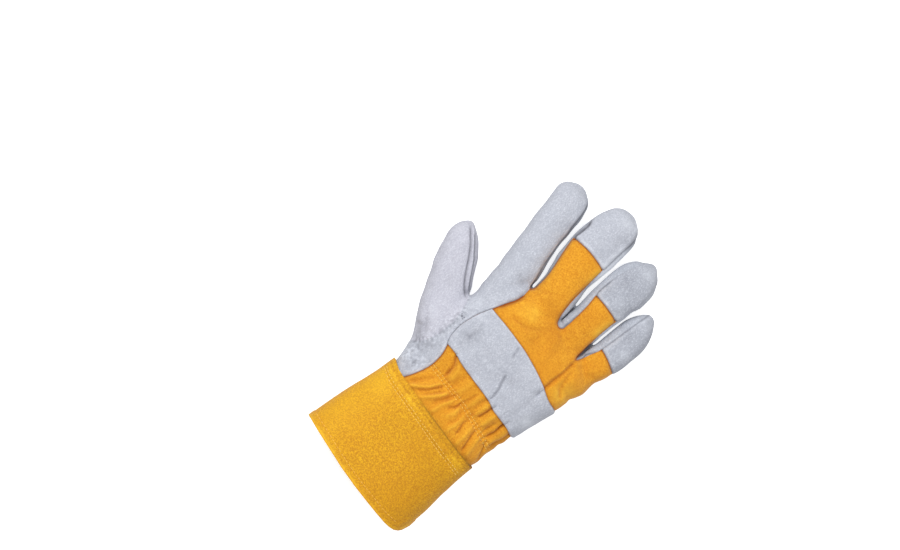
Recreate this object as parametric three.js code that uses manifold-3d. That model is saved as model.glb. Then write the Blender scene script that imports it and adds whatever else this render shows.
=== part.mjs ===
// A split-leather work glove for the right hand, lying on its palm with the back of the hand up.
// Millimetres, +Z up, +Y towards the fingertips, and the thumb on the -X side.
// The origin is on the floor, in the middle of the palm's flat underside.
// The hand is one hollow skin, cut along its real seams into the pieces that are sewn together.

import * as THREE from "three";
import { mergeVertices, toCreasedNormals } from "three/addons/utils/BufferGeometryUtils.js";
import Module from "manifold-3d";

const wasm = await Module();
wasm.setup();

// Driving sizes of a size 10 glove.
const WALL = 1.8; // split leather, or cotton drill with its seam allowance
const SEAM_GAP = 0.3; // clearance along every seam
const CUFF_WALL = 2.0; // rubberised canvas, two layers
const STRAP_WALL = 1.5;
const TAB_WALL = 2.0; // the palm's tab over the cuff, with its turned edge
const CUFF_TOP_Y = -48.5;
const TUCK_Y = -57; // the hand runs this far down inside the cuff
const PALM_TAB_Y = -48.2; // the palm's own skin ends here and its tab lies over the cuff
const HAND_SQUARENESS = 2.6; // exponent of the rounded-square sections
const FINGER_SQUARENESS = 2.15;
const CUFF_SQUARENESS = 2.6;
const FAR = 200; // beyond every piece

// The hand without its fingers: one row for each cross-section, from the wrist to the knuckles.
const HAND_SECTIONS = [
  { y: -66, left: -26.0, right: 62.4, under: -1.5, over: 43.0, gather: 0.0 },
  { y: -57, left: -26.4, right: 62.8, under: -1.5, over: 43.2, gather: 0.3 },
  { y: -49, left: -27.1, right: 63.4, under: -1.5, over: 43.6, gather: 0.6 },
  { y: -42, left: -28.4, right: 63.6, under: -1.5, over: 43.4, gather: 1.3 },
  { y: -35, left: -30.0, right: 63.4, under: -1.5, over: 42.0, gather: 1.3 },
  { y: -29, left: -31.2, right: 63.6, under: -1.5, over: 40.0, gather: 0.8 },
  { y: -23, left: -32.2, right: 64.2, under: -1.5, over: 41.4, gather: 1.2 },
  { y: -16, left: -33.0, right: 64.6, under: -1.5, over: 43.4, gather: 0.6 },
  { y: -8, left: -33.0, right: 65.8, under: -1.5, over: 44.6, gather: 0.0 },
  { y: 6, left: -31.6, right: 67.8, under: -1.5, over: 45.4, gather: 0.0 },
  { y: 22, left: -31.0, right: 69.4, under: -1.5, over: 44.8, gather: 0.0 },
  { y: 36, left: -33.0, right: 70.8, under: -0.6, over: 43.0, gather: 0.0 },
  { y: 47, left: -34.5, right: 71.0, under: 1.8, over: 40.2, gather: 0.0 },
  { y: 53.5, left: -34.0, right: 69.0, under: 4.6, over: 37.8, gather: 0.0 },
  { y: 58, left: -32.0, right: 58.0, under: 7.0, over: 35.5, gather: 0.0 },
  { y: 61.5, left: -28.0, right: 46.0, under: 10.0, over: 32.5, gather: 0.0 },
];

// Shallow valleys that run down the back of the hand from between the fingers.
const VALLEYS = [
  { top: [-8, 62], foot: [-11, 30], depth: 2.0, width: 6 },
  { top: [24, 61], foot: [22, 32], depth: 1.8, width: 6 },
  { top: [51.5, 59], foot: [53, 24], depth: 2.4, width: 5 },
];

// Each finger: the middle of its cross-section, its half width across and its half height.
const FINGERS = {
  index: [
    { x: -21.0, y: 36.0, z: 21.0, across: 12.3, deep: 13.0 },
    { x: -22.4, y: 50.0, z: 21.5, across: 13.9, deep: 14.2 },
    { x: -23.6, y: 62.0, z: 21.3, across: 14.4, deep: 14.2 },
    { x: -28.4, y: 80.0, z: 20.2, across: 14.5, deep: 13.6 },
    { x: -34.6, y: 100.0, z: 18.2, across: 14.0, deep: 12.8 },
    { x: -39.0, y: 115.0, z: 15.8, across: 13.7, deep: 12.2 },
    { x: -41.4, y: 124.5, z: 13.6, across: 13.3, deep: 11.4 },
    { x: -42.4, y: 130.0, z: 12.2, across: 11.2, deep: 9.3 },
    { x: -42.8, y: 133.2, z: 11.4, across: 7.0, deep: 5.4 },
  ],
  middle: [
    { x: 6.6, y: 36.0, z: 22.0, across: 12.4, deep: 13.4 },
    { x: 7.2, y: 52.0, z: 22.6, across: 13.9, deep: 14.6 },
    { x: 7.6, y: 63.0, z: 22.4, across: 15.2, deep: 14.6 },
    { x: 4.6, y: 79.0, z: 21.6, across: 15.1, deep: 14.0 },
    { x: -0.6, y: 97.0, z: 19.8, across: 16.6, deep: 13.3 },
    { x: -3.2, y: 115.0, z: 17.0, across: 17.5, deep: 12.8 },
    { x: -4.0, y: 130.0, z: 14.0, across: 16.7, deep: 11.8 },
    { x: -4.2, y: 140.5, z: 12.0, across: 14.3, deep: 10.4 },
    { x: -3.6, y: 146.5, z: 10.8, across: 10.0, deep: 7.6 },
    { x: -3.0, y: 149.4, z: 10.2, across: 5.0, deep: 4.2 },
  ],
  ring: [
    { x: 35.4, y: 36.0, z: 21.4, across: 12.4, deep: 13.0 },
    { x: 36.2, y: 52.0, z: 21.5, across: 13.6, deep: 14.0 },
    { x: 36.6, y: 64.0, z: 21.3, across: 13.3, deep: 13.8 },
    { x: 35.0, y: 81.0, z: 20.0, across: 14.1, deep: 13.2 },
    { x: 33.6, y: 100.0, z: 17.4, across: 15.0, deep: 12.6 },
    { x: 33.7, y: 114.0, z: 14.9, across: 15.9, deep: 12.0 },
    { x: 33.9, y: 125.0, z: 12.9, across: 14.7, deep: 11.0 },
    { x: 33.7, y: 133.5, z: 11.4, across: 10.8, deep: 8.8 },
    { x: 33.3, y: 138.6, z: 10.4, across: 5.2, deep: 4.6 },
  ],
  little: [
    { x: 59.8, y: 36.0, z: 19.2, across: 10.4, deep: 12.0 },
    { x: 61.2, y: 49.0, z: 19.2, across: 10.5, deep: 12.4 },
    { x: 61.8, y: 60.0, z: 18.8, across: 10.4, deep: 12.2 },
    { x: 62.2, y: 70.0, z: 17.8, across: 11.6, deep: 11.9 },
    { x: 62.7, y: 82.0, z: 16.1, across: 12.6, deep: 11.5 },
    { x: 62.7, y: 92.0, z: 14.4, across: 12.6, deep: 11.0 },
    { x: 62.0, y: 101.0, z: 12.8, across: 11.3, deep: 10.2 },
    { x: 61.0, y: 109.0, z: 11.3, across: 8.4, deep: 8.4 },
    { x: 60.6, y: 114.8, z: 10.4, across: 4.2, deep: 4.6 },
  ],
  thumb: [
    { x: -14.0, y: -22.0, z: 20.0, across: 14.0, deep: 14.5 },
    { x: -24.0, y: -12.0, z: 19.4, across: 17.4, deep: 16.6 },
    { x: -33.0, y: -2.0, z: 18.8, across: 18.2, deep: 16.8 },
    { x: -44.5, y: 12.0, z: 17.4, across: 17.1, deep: 15.4 },
    { x: -54.5, y: 27.0, z: 15.9, across: 16.0, deep: 14.2 },
    { x: -62.0, y: 38.0, z: 14.3, across: 14.4, deep: 13.0 },
    { x: -67.2, y: 46.5, z: 12.9, across: 11.9, deep: 11.2 },
    { x: -70.4, y: 53.0, z: 11.6, across: 8.0, deep: 8.0 },
    { x: -71.8, y: 57.0, z: 10.8, across: 3.6, deep: 4.0 },
  ],
};

// The stiff cuff, from its open end to its sewn top edge.
const CUFF_SECTIONS = [
  { y: -128, left: -35.6, right: 70.2, under: 0.0, over: 54.6 },
  { y: -112, left: -35.2, right: 70.0, under: 0.6, over: 53.8 },
  { y: -96, left: -34.2, right: 69.2, under: 1.4, over: 52.0 },
  { y: -78, left: -32.6, right: 67.6, under: 2.2, over: 49.4 },
  { y: -60, left: -31.2, right: 67.0, under: 2.2, over: 47.6 },
  { y: CUFF_TOP_Y, left: -31.0, right: 67.4, under: 2.2, over: 47.0 },
];
const CUFF_END = [[-60, -116], [-35, -117.6], [-12, -119.8], [8, -121.6], [26, -122.4], [48, -122.2], [90, -120.4]];
const SLIT = { topY: -64, height: 13, cornerY: -112, gapAtTop: 0.6, gapAtEnd: 7, flare: 9 };

// Seams seen from above, each a line of [x, y] points.
const THUMB_SEAM = [[-38.5, 41], [-30.4, 21.8], [-26.8, 12], [-26.2, 0], [-27.4, -10], [-31, -21], [-38, -33]];
const BACK_SEAM = [[-8.2, 54.6], [-8.6, 50], [-11, 42.5], [-14.4, 31.5], [-18.2, 18], [-19.2, 8], [-18, -1],
  [-14.2, -9], [-11, -17], [-9.8, -26], [-10.8, -34], [-13, -42], [-16.5, -52], [-17.5, -60]];
const FORKS = {
  index_middle: { foot: [-8.2, 54.6], halfWidth: 4.3 },
  middle_ring: { foot: [23.6, 54.4], halfWidth: 4.3 },
  ring_little: { foot: [50.8, 51.6], halfWidth: 4.1 },
};
const FORK_INSET = 3.1; // a fourchette's seams run this far inside the finger's edge
const FRONT_SEAM = [[-8.2, 54.6], [-4, 52.2], [4, 51.2], [16, 50.8], [30, 50.6], [42, 50.2], [50.8, 51.6]];
const TIP_LINES = {
  middle: { left: 108.8, bow: 1.4, right: 110.0 },
  ring: { left: 95.8, bow: 1.2, right: 96.4 },
  little: { left: 74.8, bow: 1.6, right: 70.0 },
};
// The seam along the little-finger side, seen from that side as [y, z].
const ULNAR_SEAM = [[-66, 12.6], [-40, 12.6], [-10, 11.8], [30, 11.2], [50, 11.2], [62, 10.6], [82, 8.8], [98, 7.2],
  [105, 7.0], [111, 8.4], [122, 10.6]];
const ULNAR_FROM_X = 57.8;
const TIP_END_Z = { middle: 11.2, ring: 11.2 };

const STRAP_OUTLINE = [[-14.0, 31.4], [3, 31.8], [20, 31.4], [35, 29.6], [50, 26.4], [62, 22.6], [90, 20], [90, -14.6],
  [66, -14.2], [56, -12.6], [44, -12.6], [34, -10.8], [20, -10.4], [4, -10.0], [-6, -8.6], [-13.6, -8.8],
  [-17.4, -1.4], [-18.6, 7.6], [-17.6, 17.6]];
const TAB_OUTLINE = [[-25, -44], [-27, -50], [-28, -58], [-26, -63], [-21, -67], [-13, -70.5], [7, -75.5], [27, -79],
  [47, -81], [51, -81], [59, -75.5], [61.5, -69], [60.8, -58], [60, -44]];

// Solids from closed BufferGeometry, and back.
function toSolid(geometry) {
  const bare = geometry.clone();
  bare.deleteAttribute("normal");
  bare.deleteAttribute("uv");
  const merged = mergeVertices(bare, 1e-4);
  return new wasm.Manifold(new wasm.Mesh({
    numProp: 3,
    vertProperties: merged.attributes.position.array,
    triVerts: new Uint32Array(merged.index.array),
  }));
}

function toGeometry(solid) {
  const mesh = solid.getMesh();
  const geometry = new THREE.BufferGeometry();
  geometry.setAttribute("position", new THREE.BufferAttribute(mesh.vertProperties, 3));
  geometry.setIndex(new THREE.BufferAttribute(mesh.triVerts, 1));
  return toCreasedNormals(geometry, 0.7);
}

// A closed tube through rings that have the same number of points, with a fan at each end.
function skin(rings) {
  const count = rings[0].length;
  const points = rings.flat();
  const index = [];
  for (let r = 0; r + 1 < rings.length; r++)
    for (let k = 0; k < count; k++) {
      const a = r * count + k;
      const b = r * count + ((k + 1) % count);
      index.push(a, b, a + count, b, b + count, a + count);
    }
  for (const [ring, first, last] of [[rings[0], 0, false], [rings.at(-1), (rings.length - 1) * count, true]]) {
    const middle = ring.reduce((sum, p) => sum.add(p), new THREE.Vector3()).divideScalar(count);
    points.push(middle);
    for (let k = 0; k < count; k++) {
      const a = first + k;
      const b = first + ((k + 1) % count);
      index.push(...(last ? [a, b, points.length - 1] : [b, a, points.length - 1]));
    }
  }
  const geometry = new THREE.BufferGeometry().setFromPoints(points);
  geometry.setIndex(index);
  return toSolid(geometry);
}

// Where a rounded square of half size 1 has its other coordinate.
const bulge = (u, squareness) => Math.pow(1 - Math.pow(Math.abs(u), squareness), 1 / squareness);

// Places round a section: many over the back of the hand, for its gathers, and few elsewhere.
const HAND_PLACES = { over: 19, side: [0.3, 0, -0.33], under: 9 };
const CUFF_PLACES = { over: 9, side: [0.25, -0.25], under: 9 };
function sectionPlaces(squareness, { over, side, under }) {
  const across = (count, k, reach) => reach - (2 * reach * k) / (count - 1);
  const places = [];
  for (let k = 0; k < over; k++) {
    const u = across(over, k, 0.93);
    places.push({ u, v: bulge(u, squareness), ripple: k % 2 ? 1 : -1 });
  }
  for (const v of side) places.push({ u: -bulge(v, squareness), v, ripple: 0 });
  for (let k = 0; k < under; k++) {
    const u = -across(under, k, 0.88);
    places.push({ u, v: -bulge(u, squareness), ripple: 0 });
  }
  for (const v of side.toReversed()) places.push({ u: bulge(v, squareness), v, ripple: 0 });
  return places;
}

function valleyDepth(x, y) {
  return VALLEYS.reduce((sum, { top, foot, depth, width }) => {
    const share = THREE.MathUtils.clamp((y - foot[1]) / (top[1] - foot[1]), 0, 1);
    const off = (x - THREE.MathUtils.lerp(foot[0], top[0], share)) / width;
    return sum + depth * share * Math.exp(-off * off);
  }, 0);
}

// A section of the hand or the cuff, taken in by inset on every side.
function wideSection(row, inset, squareness, round) {
  const middleX = (row.left + row.right) / 2;
  const middleZ = (row.under + row.over) / 2;
  const halfX = (row.right - row.left) / 2 - inset;
  const halfZ = (row.over - row.under) / 2 - inset;
  return sectionPlaces(squareness, round).map(({ u, v, ripple }) => {
    const x = middleX + halfX * u;
    const dip = ripple ? valleyDepth(x, row.y) : 0;
    return new THREE.Vector3(x, row.y, middleZ + halfZ * v + ripple * (row.gather ?? 0) - dip);
  }).reverse();
}

function handBody(inset) {
  const rows = HAND_SECTIONS.map((row, i) => (i === HAND_SECTIONS.length - 1 ? { ...row, y: row.y - inset } : row));
  return skin(rows.map((row) => wideSection(row, inset, HAND_SQUARENESS, HAND_PLACES)));
}

function fingerTube(rows, inset) {
  const sides = inset ? 10 : 14;
  const middles = rows.map((row) => new THREE.Vector3(row.x, row.y, row.z));
  const rings = rows.map((row, i) => {
    const along = middles[Math.min(i + 1, rows.length - 1)].clone().sub(middles[Math.max(i - 1, 0)]);
    along.z = 0;
    along.normalize();
    const side = new THREE.Vector3(along.y, -along.x, 0);
    const tipShare = Math.max(0, 1 - row.across / 9);
    const middle = middles[i].clone().addScaledVector(along, -inset * tipShare);
    const across = Math.max(row.across - inset, 0.8);
    const deep = Math.max(row.deep - inset, 0.8);
    return Array.from({ length: sides }, (_, k) => {
      const turn = (2 * Math.PI * k) / sides;
      const power = 2 / FINGER_SQUARENESS;
      const u = Math.sign(Math.cos(turn)) * Math.pow(Math.abs(Math.cos(turn)), power);
      const v = Math.sign(Math.sin(turn)) * Math.pow(Math.abs(Math.sin(turn)), power);
      return middle.clone().addScaledVector(side, across * u).add(new THREE.Vector3(0, 0, deep * v));
    }).reverse();
  });
  return skin(rings);
}

// Prisms: an outline seen from above, or from the side, carried through the glove.
function outline(points) {
  return new THREE.Shape(points.map(([x, y]) => new THREE.Vector2(x, y)));
}

function prismUp(points, low, high) {
  const geometry = new THREE.ExtrudeGeometry(outline(points), { depth: high - low, bevelEnabled: false });
  geometry.translate(0, 0, low);
  return toSolid(geometry);
}

// points are [y, z], carried along X from left to right.
function prismAcross(points, left, right) {
  const geometry = new THREE.ExtrudeGeometry(outline(points), { depth: right - left, bevelEnabled: false });
  geometry.applyMatrix4(new THREE.Matrix4().makeBasis(
    new THREE.Vector3(0, 1, 0), new THREE.Vector3(0, 0, 1), new THREE.Vector3(1, 0, 0)));
  geometry.translate(left, 0, 0);
  return toSolid(geometry);
}

// The outline of a line of the given width.
function stroke(points, width) {
  const line = points.map(([x, y]) => new THREE.Vector2(x, y));
  const offset = (sign) => line.map((p, i) => {
    const before = line[Math.max(i - 1, 0)];
    const after = line[Math.min(i + 1, line.length - 1)];
    const a = p.clone().sub(before).normalize();
    const b = after.clone().sub(p).normalize();
    const along = a.add(b).normalize();
    return [p.x - (sign * along.y * width) / 2, p.y + (sign * along.x * width) / 2];
  });
  return [...offset(1), ...offset(-1).reverse()];
}

const above = (z) => prismUp([[-FAR, -FAR], [FAR, -FAR], [FAR, FAR], [-FAR, FAR]], z, FAR);
const beyond = (y) => prismUp([[-FAR, y], [FAR, y], [FAR, FAR], [-FAR, FAR]], -FAR, FAR);
const join = (solids) => solids.reduce((sum, solid) => sum.add(solid));

// The whole hand as a hollow skin that is open at the wrist.
function handSkin() {
  const form = (inset) => join([handBody(inset), ...Object.values(FINGERS).map((rows) => fingerTube(rows, inset))]);
  const outside = form(0).intersect(above(0));
  const inside = form(WALL).intersect(above(WALL));
  const midHeight = 17;
  const palmEnd = prismUp([[-FAR, -FAR], [FAR, -FAR], [FAR, PALM_TAB_Y], [-FAR, PALM_TAB_Y]], -FAR, midHeight);
  return outside.subtract(inside).intersect(beyond(TUCK_Y)).subtract(palmEnd);
}

// The palm's tab, which lies over the cuff and joins the palm at its flat underside.
function palmTab() {
  const raised = CUFF_SECTIONS.map((row) => (row.y === CUFF_TOP_Y ? { ...row, y: row.y + 4 } : row));
  const lift = (inset) => skin(raised.map((row) => wideSection(row, inset, CUFF_SQUARENESS, CUFF_PLACES)));
  const outside = lift(-(SEAM_GAP + TAB_WALL)).intersect(above(0));
  const sheet = outside.subtract(lift(-SEAM_GAP));
  return sheet.intersect(prismUp(TAB_OUTLINE, -FAR, 17));
}

// A line along one side of a finger, inside its edge, and on past its tip.
function sideLine(rows, side, inset) {
  const points = rows.filter((row) => row.y > 60 && row.across > 9).map((row) => {
    const i = rows.indexOf(row);
    const along = new THREE.Vector2(rows[i + 1].x - rows[i - 1].x, rows[i + 1].y - rows[i - 1].y).normalize();
    const reach = side * (row.across - inset);
    return [row.x + along.y * reach, row.y - along.x * reach];
  });
  const [p, q] = points.slice(-2);
  const stretch = 30 / Math.hypot(q[0] - p[0], q[1] - p[1]);
  points.push([q[0] + (q[0] - p[0]) * stretch, q[1] + (q[1] - p[1]) * stretch]);
  return points;
}

function xAt(line, y) {
  const i = line.findIndex(([, top], k) => k > 0 && top > y);
  const [[x0, y0], [x1, y1]] = [line[i - 1], line[i]];
  return x0 + ((x1 - x0) * (y - y0)) / (y1 - y0);
}

function seamCuts() {
  const through = (points, low = -FAR, high = FAR) => prismUp(stroke(points, SEAM_GAP), low, high);
  const handMiddle = 20;
  const cuts = [through(THUMB_SEAM), through(BACK_SEAM, handMiddle), through(FRONT_SEAM, -FAR, handMiddle)];
  const leg = (name, side) => sideLine(FINGERS[name], side, FORK_INSET);
  for (const [pair, { foot: [x, y], halfWidth }] of Object.entries(FORKS)) {
    const [before, after] = pair.split("_");
    const foot = [[x - halfWidth, y + 4.6], [x, y], [x + halfWidth, y + 4.6]];
    cuts.push(through([...leg(before, 1).reverse(), ...foot, ...leg(after, -1)]));
  }
  for (const [name, { left, bow, right }] of Object.entries(TIP_LINES)) {
    const from = xAt(leg(name, -1), left);
    const to = name === "little" ? 80 : xAt(leg(name, 1), right);
    const line = Array.from({ length: 5 }, (_, k) => [from + ((to - from) * k) / 4,
      left + ((right - left) * k) / 4 + bow * Math.sin((Math.PI * k) / 4)]);
    cuts.push(through(line, 13));
    if (name === "little") cuts.push(through(line.slice(2), 9.2));
  }
  for (const [name, z] of Object.entries(TIP_END_Z)) {
    const tip = FINGERS[name].at(-1).y;
    const y = tip - 4;
    cuts.push(prismAcross(stroke([[tip - 20, z], [tip + 20, z]], SEAM_GAP), xAt(leg(name, -1), y), xAt(leg(name, 1), y)));
  }
  cuts.push(prismAcross(stroke(ULNAR_SEAM, SEAM_GAP), ULNAR_FROM_X, 90));
  const overTip = [[106.4, 11.6], [110.2, 8.6], ...ULNAR_SEAM.slice(-2)];
  cuts.push(prismAcross(stroke(overTip, SEAM_GAP), xAt(leg("little", -1), 106), ULNAR_FROM_X + 0.5));
  return join(cuts);
}

// Of the pieces that the seams leave, the one that passes through a place.
function pieceAt(pieces, [x, y, z]) {
  const probe = prismUp([[x - 2, y - 2], [x + 2, y - 2], [x + 2, y + 2], [x - 2, y + 2]], z - 2, z + 2);
  const share = pieces.map((piece) => piece.intersect(probe).volume());
  return pieces[share.indexOf(Math.max(...share))];
}

function largest(solid) {
  return solid.decompose().reduce((a, b) => (a.volume() > b.volume() ? a : b));
}

function cuff() {
  const form = (inset) => skin(CUFF_SECTIONS.map((row) => wideSection(row, inset, CUFF_SQUARENESS, CUFF_PLACES)));
  const inside = join([form(CUFF_WALL), prismUp([[-20, -47], [50, -47], [50, -50], [-20, -50]], 12, 36)]);
  const endCut = prismUp([...CUFF_END, [90, -FAR], [-60, -FAR]], -FAR, FAR);
  const { topY, height, cornerY, gapAtTop, gapAtEnd, flare } = SLIT;
  const slit = prismAcross([[topY, height - gapAtTop / 2], [topY, height + gapAtTop / 2],
    [cornerY, height + gapAtEnd / 2], [cornerY - 5, height + gapAtEnd / 2 + 2], [cornerY - 9, height + gapAtEnd / 2 + flare],
    [-FAR, height + gapAtEnd / 2 + flare], [-FAR, height - gapAtEnd / 2 - flare * 0.7],
    [cornerY - 9, height - gapAtEnd / 2 - flare * 0.7], [cornerY - 5, height - gapAtEnd / 2 - 2],
    [cornerY, height - gapAtEnd / 2]], 45, 90);
  return form(0).subtract(inside).subtract(endCut).subtract(slit);
}

function knuckleStrap() {
  const sheet = handBody(-(SEAM_GAP + STRAP_WALL)).subtract(handBody(-SEAM_GAP));
  return largest(sheet.intersect(prismUp(STRAP_OUTLINE, 11, FAR)));
}

const LEATHER = { color: 0xb9bcc6, roughness: 0.95, metalness: 0 };
const DRILL = { color: 0xe9a01c, roughness: 0.85, metalness: 0 };
const CANVAS = { color: 0xe6a41f, roughness: 0.7, metalness: 0 };

// Every sewn piece, with a place that it passes through.
const HAND_PIECES = {
  palm: { at: [20, 0, 0], material: LEATHER },
  thumb: { at: [-55, 27, 30], material: LEATHER },
  back: { at: [20, 40, 42], material: DRILL },
  middle_ring_front: { at: [5, 90, 6], material: LEATHER },
  middle_tip: { at: [-3, 125, 27], material: LEATHER },
  ring_tip: { at: [34, 115, 26], material: LEATHER },
  little_tip: { at: [64, 90, 25], material: LEATHER },
  index_middle_fourchette: { at: [-9, 66, 21], material: LEATHER },
  middle_ring_fourchette: { at: [21, 66, 21], material: LEATHER },
  ring_little_fourchette: { at: [51, 60, 19], material: LEATHER },
};

const glove = new THREE.Group();

function addPiece(name, solid, material) {
  const mesh = new THREE.Mesh(toGeometry(solid), new THREE.MeshStandardMaterial(material));
  mesh.name = name;
  glove.add(mesh);
}

const sewn = handSkin().add(palmTab()).subtract(seamCuts()).decompose();
for (const [name, { at, material }] of Object.entries(HAND_PIECES)) addPiece(name, pieceAt(sewn, at), material);
addPiece("knuckle_strap", knuckleStrap(), LEATHER);
addPiece("cuff", cuff(), CANVAS);

export default glove;
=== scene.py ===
# %% [markdown]
# # A split-leather work glove, dressed in Blender
# The glove lies on its palm with the back of the hand up. Its palm, thumb, index finger, fingertips and
# knuckle strap are grey split leather, the back is yellow cotton drill and the cuff is stiff canvas.
# The measured frame comes in first. It fixes the size, and the panels, the strap and the cuff below each
# stand for one of its solids.

# %% Bring in the frame
import math

import bpy
import numpy as np
from mathutils import Matrix, Vector
from mathutils.bvhtree import BVHTree


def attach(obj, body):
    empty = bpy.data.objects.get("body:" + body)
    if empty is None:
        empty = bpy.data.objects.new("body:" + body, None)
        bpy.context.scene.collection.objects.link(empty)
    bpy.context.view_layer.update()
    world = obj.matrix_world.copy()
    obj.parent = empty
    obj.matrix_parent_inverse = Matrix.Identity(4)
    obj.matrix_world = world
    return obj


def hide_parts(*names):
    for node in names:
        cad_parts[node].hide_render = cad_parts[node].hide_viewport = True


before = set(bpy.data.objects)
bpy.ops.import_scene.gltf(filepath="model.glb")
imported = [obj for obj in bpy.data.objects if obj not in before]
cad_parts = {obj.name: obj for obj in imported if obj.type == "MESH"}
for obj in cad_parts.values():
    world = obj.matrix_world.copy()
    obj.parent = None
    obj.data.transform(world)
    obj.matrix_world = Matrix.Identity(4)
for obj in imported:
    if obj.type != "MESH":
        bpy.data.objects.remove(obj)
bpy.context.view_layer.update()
MM = 0.001  # the tables below are in millimetres, and Blender works in metres
print("frame nodes:", sorted(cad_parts))

# %% [markdown]
# ## The shape of the hand
# A glove that has been worn keeps a rounded hand shape. One way to make it is to sculpt it, another is to
# inflate flat panels. Here each part is a row of cross-sections, because their sizes can be measured and
# the same numbers give the same glove every time.

# %% Cross-sections of the hand, from the wrist to the knuckles
# (y, left, right, under, over)
HAND_ROWS = [
    (-66, -26.0, 62.4, -1.5, 43.0), (-57, -26.4, 62.8, -1.5, 43.2), (-49, -27.1, 63.4, -1.5, 43.6),
    (-42, -28.4, 63.6, -1.5, 43.4), (-35, -30.0, 63.4, -1.5, 42.0), (-29, -31.2, 63.4, -1.5, 40.2),
    (-23, -32.2, 63.9, -1.5, 41.4), (-16, -33.0, 64.6, -1.5, 43.4), (-8, -33.0, 65.8, -1.5, 44.6),
    (6, -31.6, 67.8, -1.5, 45.4), (22, -31.0, 69.4, -1.5, 44.8), (36, -33.0, 70.8, -0.6, 43.0),
    (47, -34.5, 71.0, 1.8, 40.2), (53.5, -34.0, 69.0, 4.6, 37.8), (58, -32.0, 58.0, 7.0, 35.5),
    (61.5, -28.0, 46.0, 10.0, 32.5), (63.0, -22.0, 40.0, 13.0, 29.0),
]
HAND_SQUARENESS = 2.6  # 2 is an ellipse, and more is nearer a rounded box
print("sections of the hand:", len(HAND_ROWS))

# %% Cross-sections of the fingers
# (x, y, z of the middle, half width, half height)
FINGER_ROWS = {
    "index": [
        (-21.0, 36.0, 21.0, 12.3, 13.0), (-22.4, 50.0, 21.5, 13.9, 14.2), (-23.6, 62.0, 21.3, 14.4, 14.2),
        (-25.9, 70.0, 20.8, 14.2, 13.9), (-29.4, 80.0, 20.2, 13.5, 13.6), (-32.7, 90.0, 19.3, 13.1, 13.2),
        (-35.7, 100.0, 18.2, 13.3, 12.8), (-39.2, 115.0, 15.8, 13.7, 12.2), (-41.4, 124.5, 13.6, 13.3, 11.4),
        (-42.4, 130.0, 12.2, 11.2, 9.3), (-42.8, 133.2, 11.4, 7.0, 5.4),
    ],
    "middle": [
        (6.6, 36.0, 22.0, 12.4, 13.4), (7.2, 52.0, 22.6, 13.9, 14.6), (7.6, 63.0, 22.4, 15.2, 14.6),
        (4.9, 79.0, 21.6, 14.5, 14.0), (1.3, 90.0, 20.7, 14.9, 13.6), (-1.0, 99.0, 19.5, 16.2, 13.2),
        (-3.2, 115.0, 17.0, 17.5, 12.8),
        (-4.0, 130.0, 14.0, 16.7, 11.8), (-4.2, 140.5, 12.0, 14.3, 10.4), (-3.6, 146.5, 10.8, 10.0, 7.6),
        (-3.0, 149.4, 10.2, 5.0, 4.2),
    ],
    "ring": [
        (35.4, 36.0, 21.4, 12.4, 13.0), (36.2, 52.0, 21.5, 13.6, 14.0), (36.6, 64.0, 21.3, 13.3, 13.8),
        (34.8, 81.0, 20.0, 13.5, 13.2), (33.6, 100.0, 17.4, 15.0, 12.6), (33.7, 114.0, 14.9, 15.9, 12.0),
        (33.9, 125.0, 12.9, 14.7, 11.0), (33.7, 133.5, 11.4, 10.8, 8.8), (33.3, 138.6, 10.4, 5.2, 4.6),
    ],
    "little": [
        (59.8, 36.0, 19.2, 10.4, 12.0), (61.2, 49.0, 19.2, 10.5, 12.4), (61.8, 60.0, 18.8, 10.4, 12.2),
        (62.3, 70.0, 17.8, 11.4, 11.9), (62.9, 82.0, 16.1, 12.2, 11.5), (62.9, 92.0, 14.4, 12.2, 11.0),
        (62.0, 101.0, 12.8, 11.3, 10.2), (61.0, 109.0, 11.3, 8.4, 8.4), (60.6, 114.8, 10.4, 4.2, 4.6),
    ],
    "thumb": [
        (-14.0, -22.0, 20.0, 14.0, 14.5), (-24.0, -12.0, 19.4, 17.4, 16.6), (-33.0, -2.0, 18.8, 18.2, 16.8),
        (-44.5, 12.0, 17.4, 17.1, 15.4), (-54.5, 27.0, 15.9, 16.0, 14.2), (-62.0, 38.0, 14.3, 14.4, 13.0),
        (-67.2, 46.5, 12.9, 11.9, 11.2), (-70.4, 53.0, 11.6, 8.0, 8.0), (-71.8, 57.0, 10.8, 3.6, 4.0),
    ],
}
FINGER_SQUARENESS = 2.15
print("fingers:", ", ".join(FINGER_ROWS))


# %% Cross-sections of the cuff
CUFF_ROWS = [
    (-128, -35.6, 69.9, 0.0, 54.6), (-112, -35.2, 69.9, 0.6, 53.8), (-96, -34.2, 69.4, 1.4, 52.0),
    (-78, -32.6, 67.5, 2.2, 49.4), (-60, -30.8, 66.1, 2.2, 47.6), (-42, -30.0, 65.9, 2.2, 46.6),
]
CUFF_SQUARENESS = 2.6
CUFF_THICK = 1.9
print("sections of the cuff:", len(CUFF_ROWS))


# %% A smooth line through measured values
def smooth_between(places, values, at):
    """Values on a curve through the measured ones, which never swings past them."""
    places, values = np.asarray(places, float), np.asarray(values, float)
    step = np.diff(places)
    slope = np.diff(values, axis=0) / step[:, None]
    before, after = slope[:-1], slope[1:]
    near = (2 * step[1:] + step[:-1])[:, None]
    far = (step[1:] + 2 * step[:-1])[:, None]
    with np.errstate(divide="ignore", invalid="ignore"):
        inner = np.where(before * after > 0, (near + far) / (near / before + far / after), 0)
    lean = np.vstack([slope[:1], inner, slope[-1:]])
    i = np.clip(np.searchsorted(places, at, side="right") - 1, 0, len(step) - 1)
    t, h = ((at - places[i]) / step[i])[:, None], step[i][:, None]
    return (
        (1 + 2 * t) * (1 - t) ** 2 * values[i] + t * (1 - t) ** 2 * h * lean[i]
        + t * t * (3 - 2 * t) * values[i + 1] + t * t * (t - 1) * h * lean[i + 1]
    )


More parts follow.
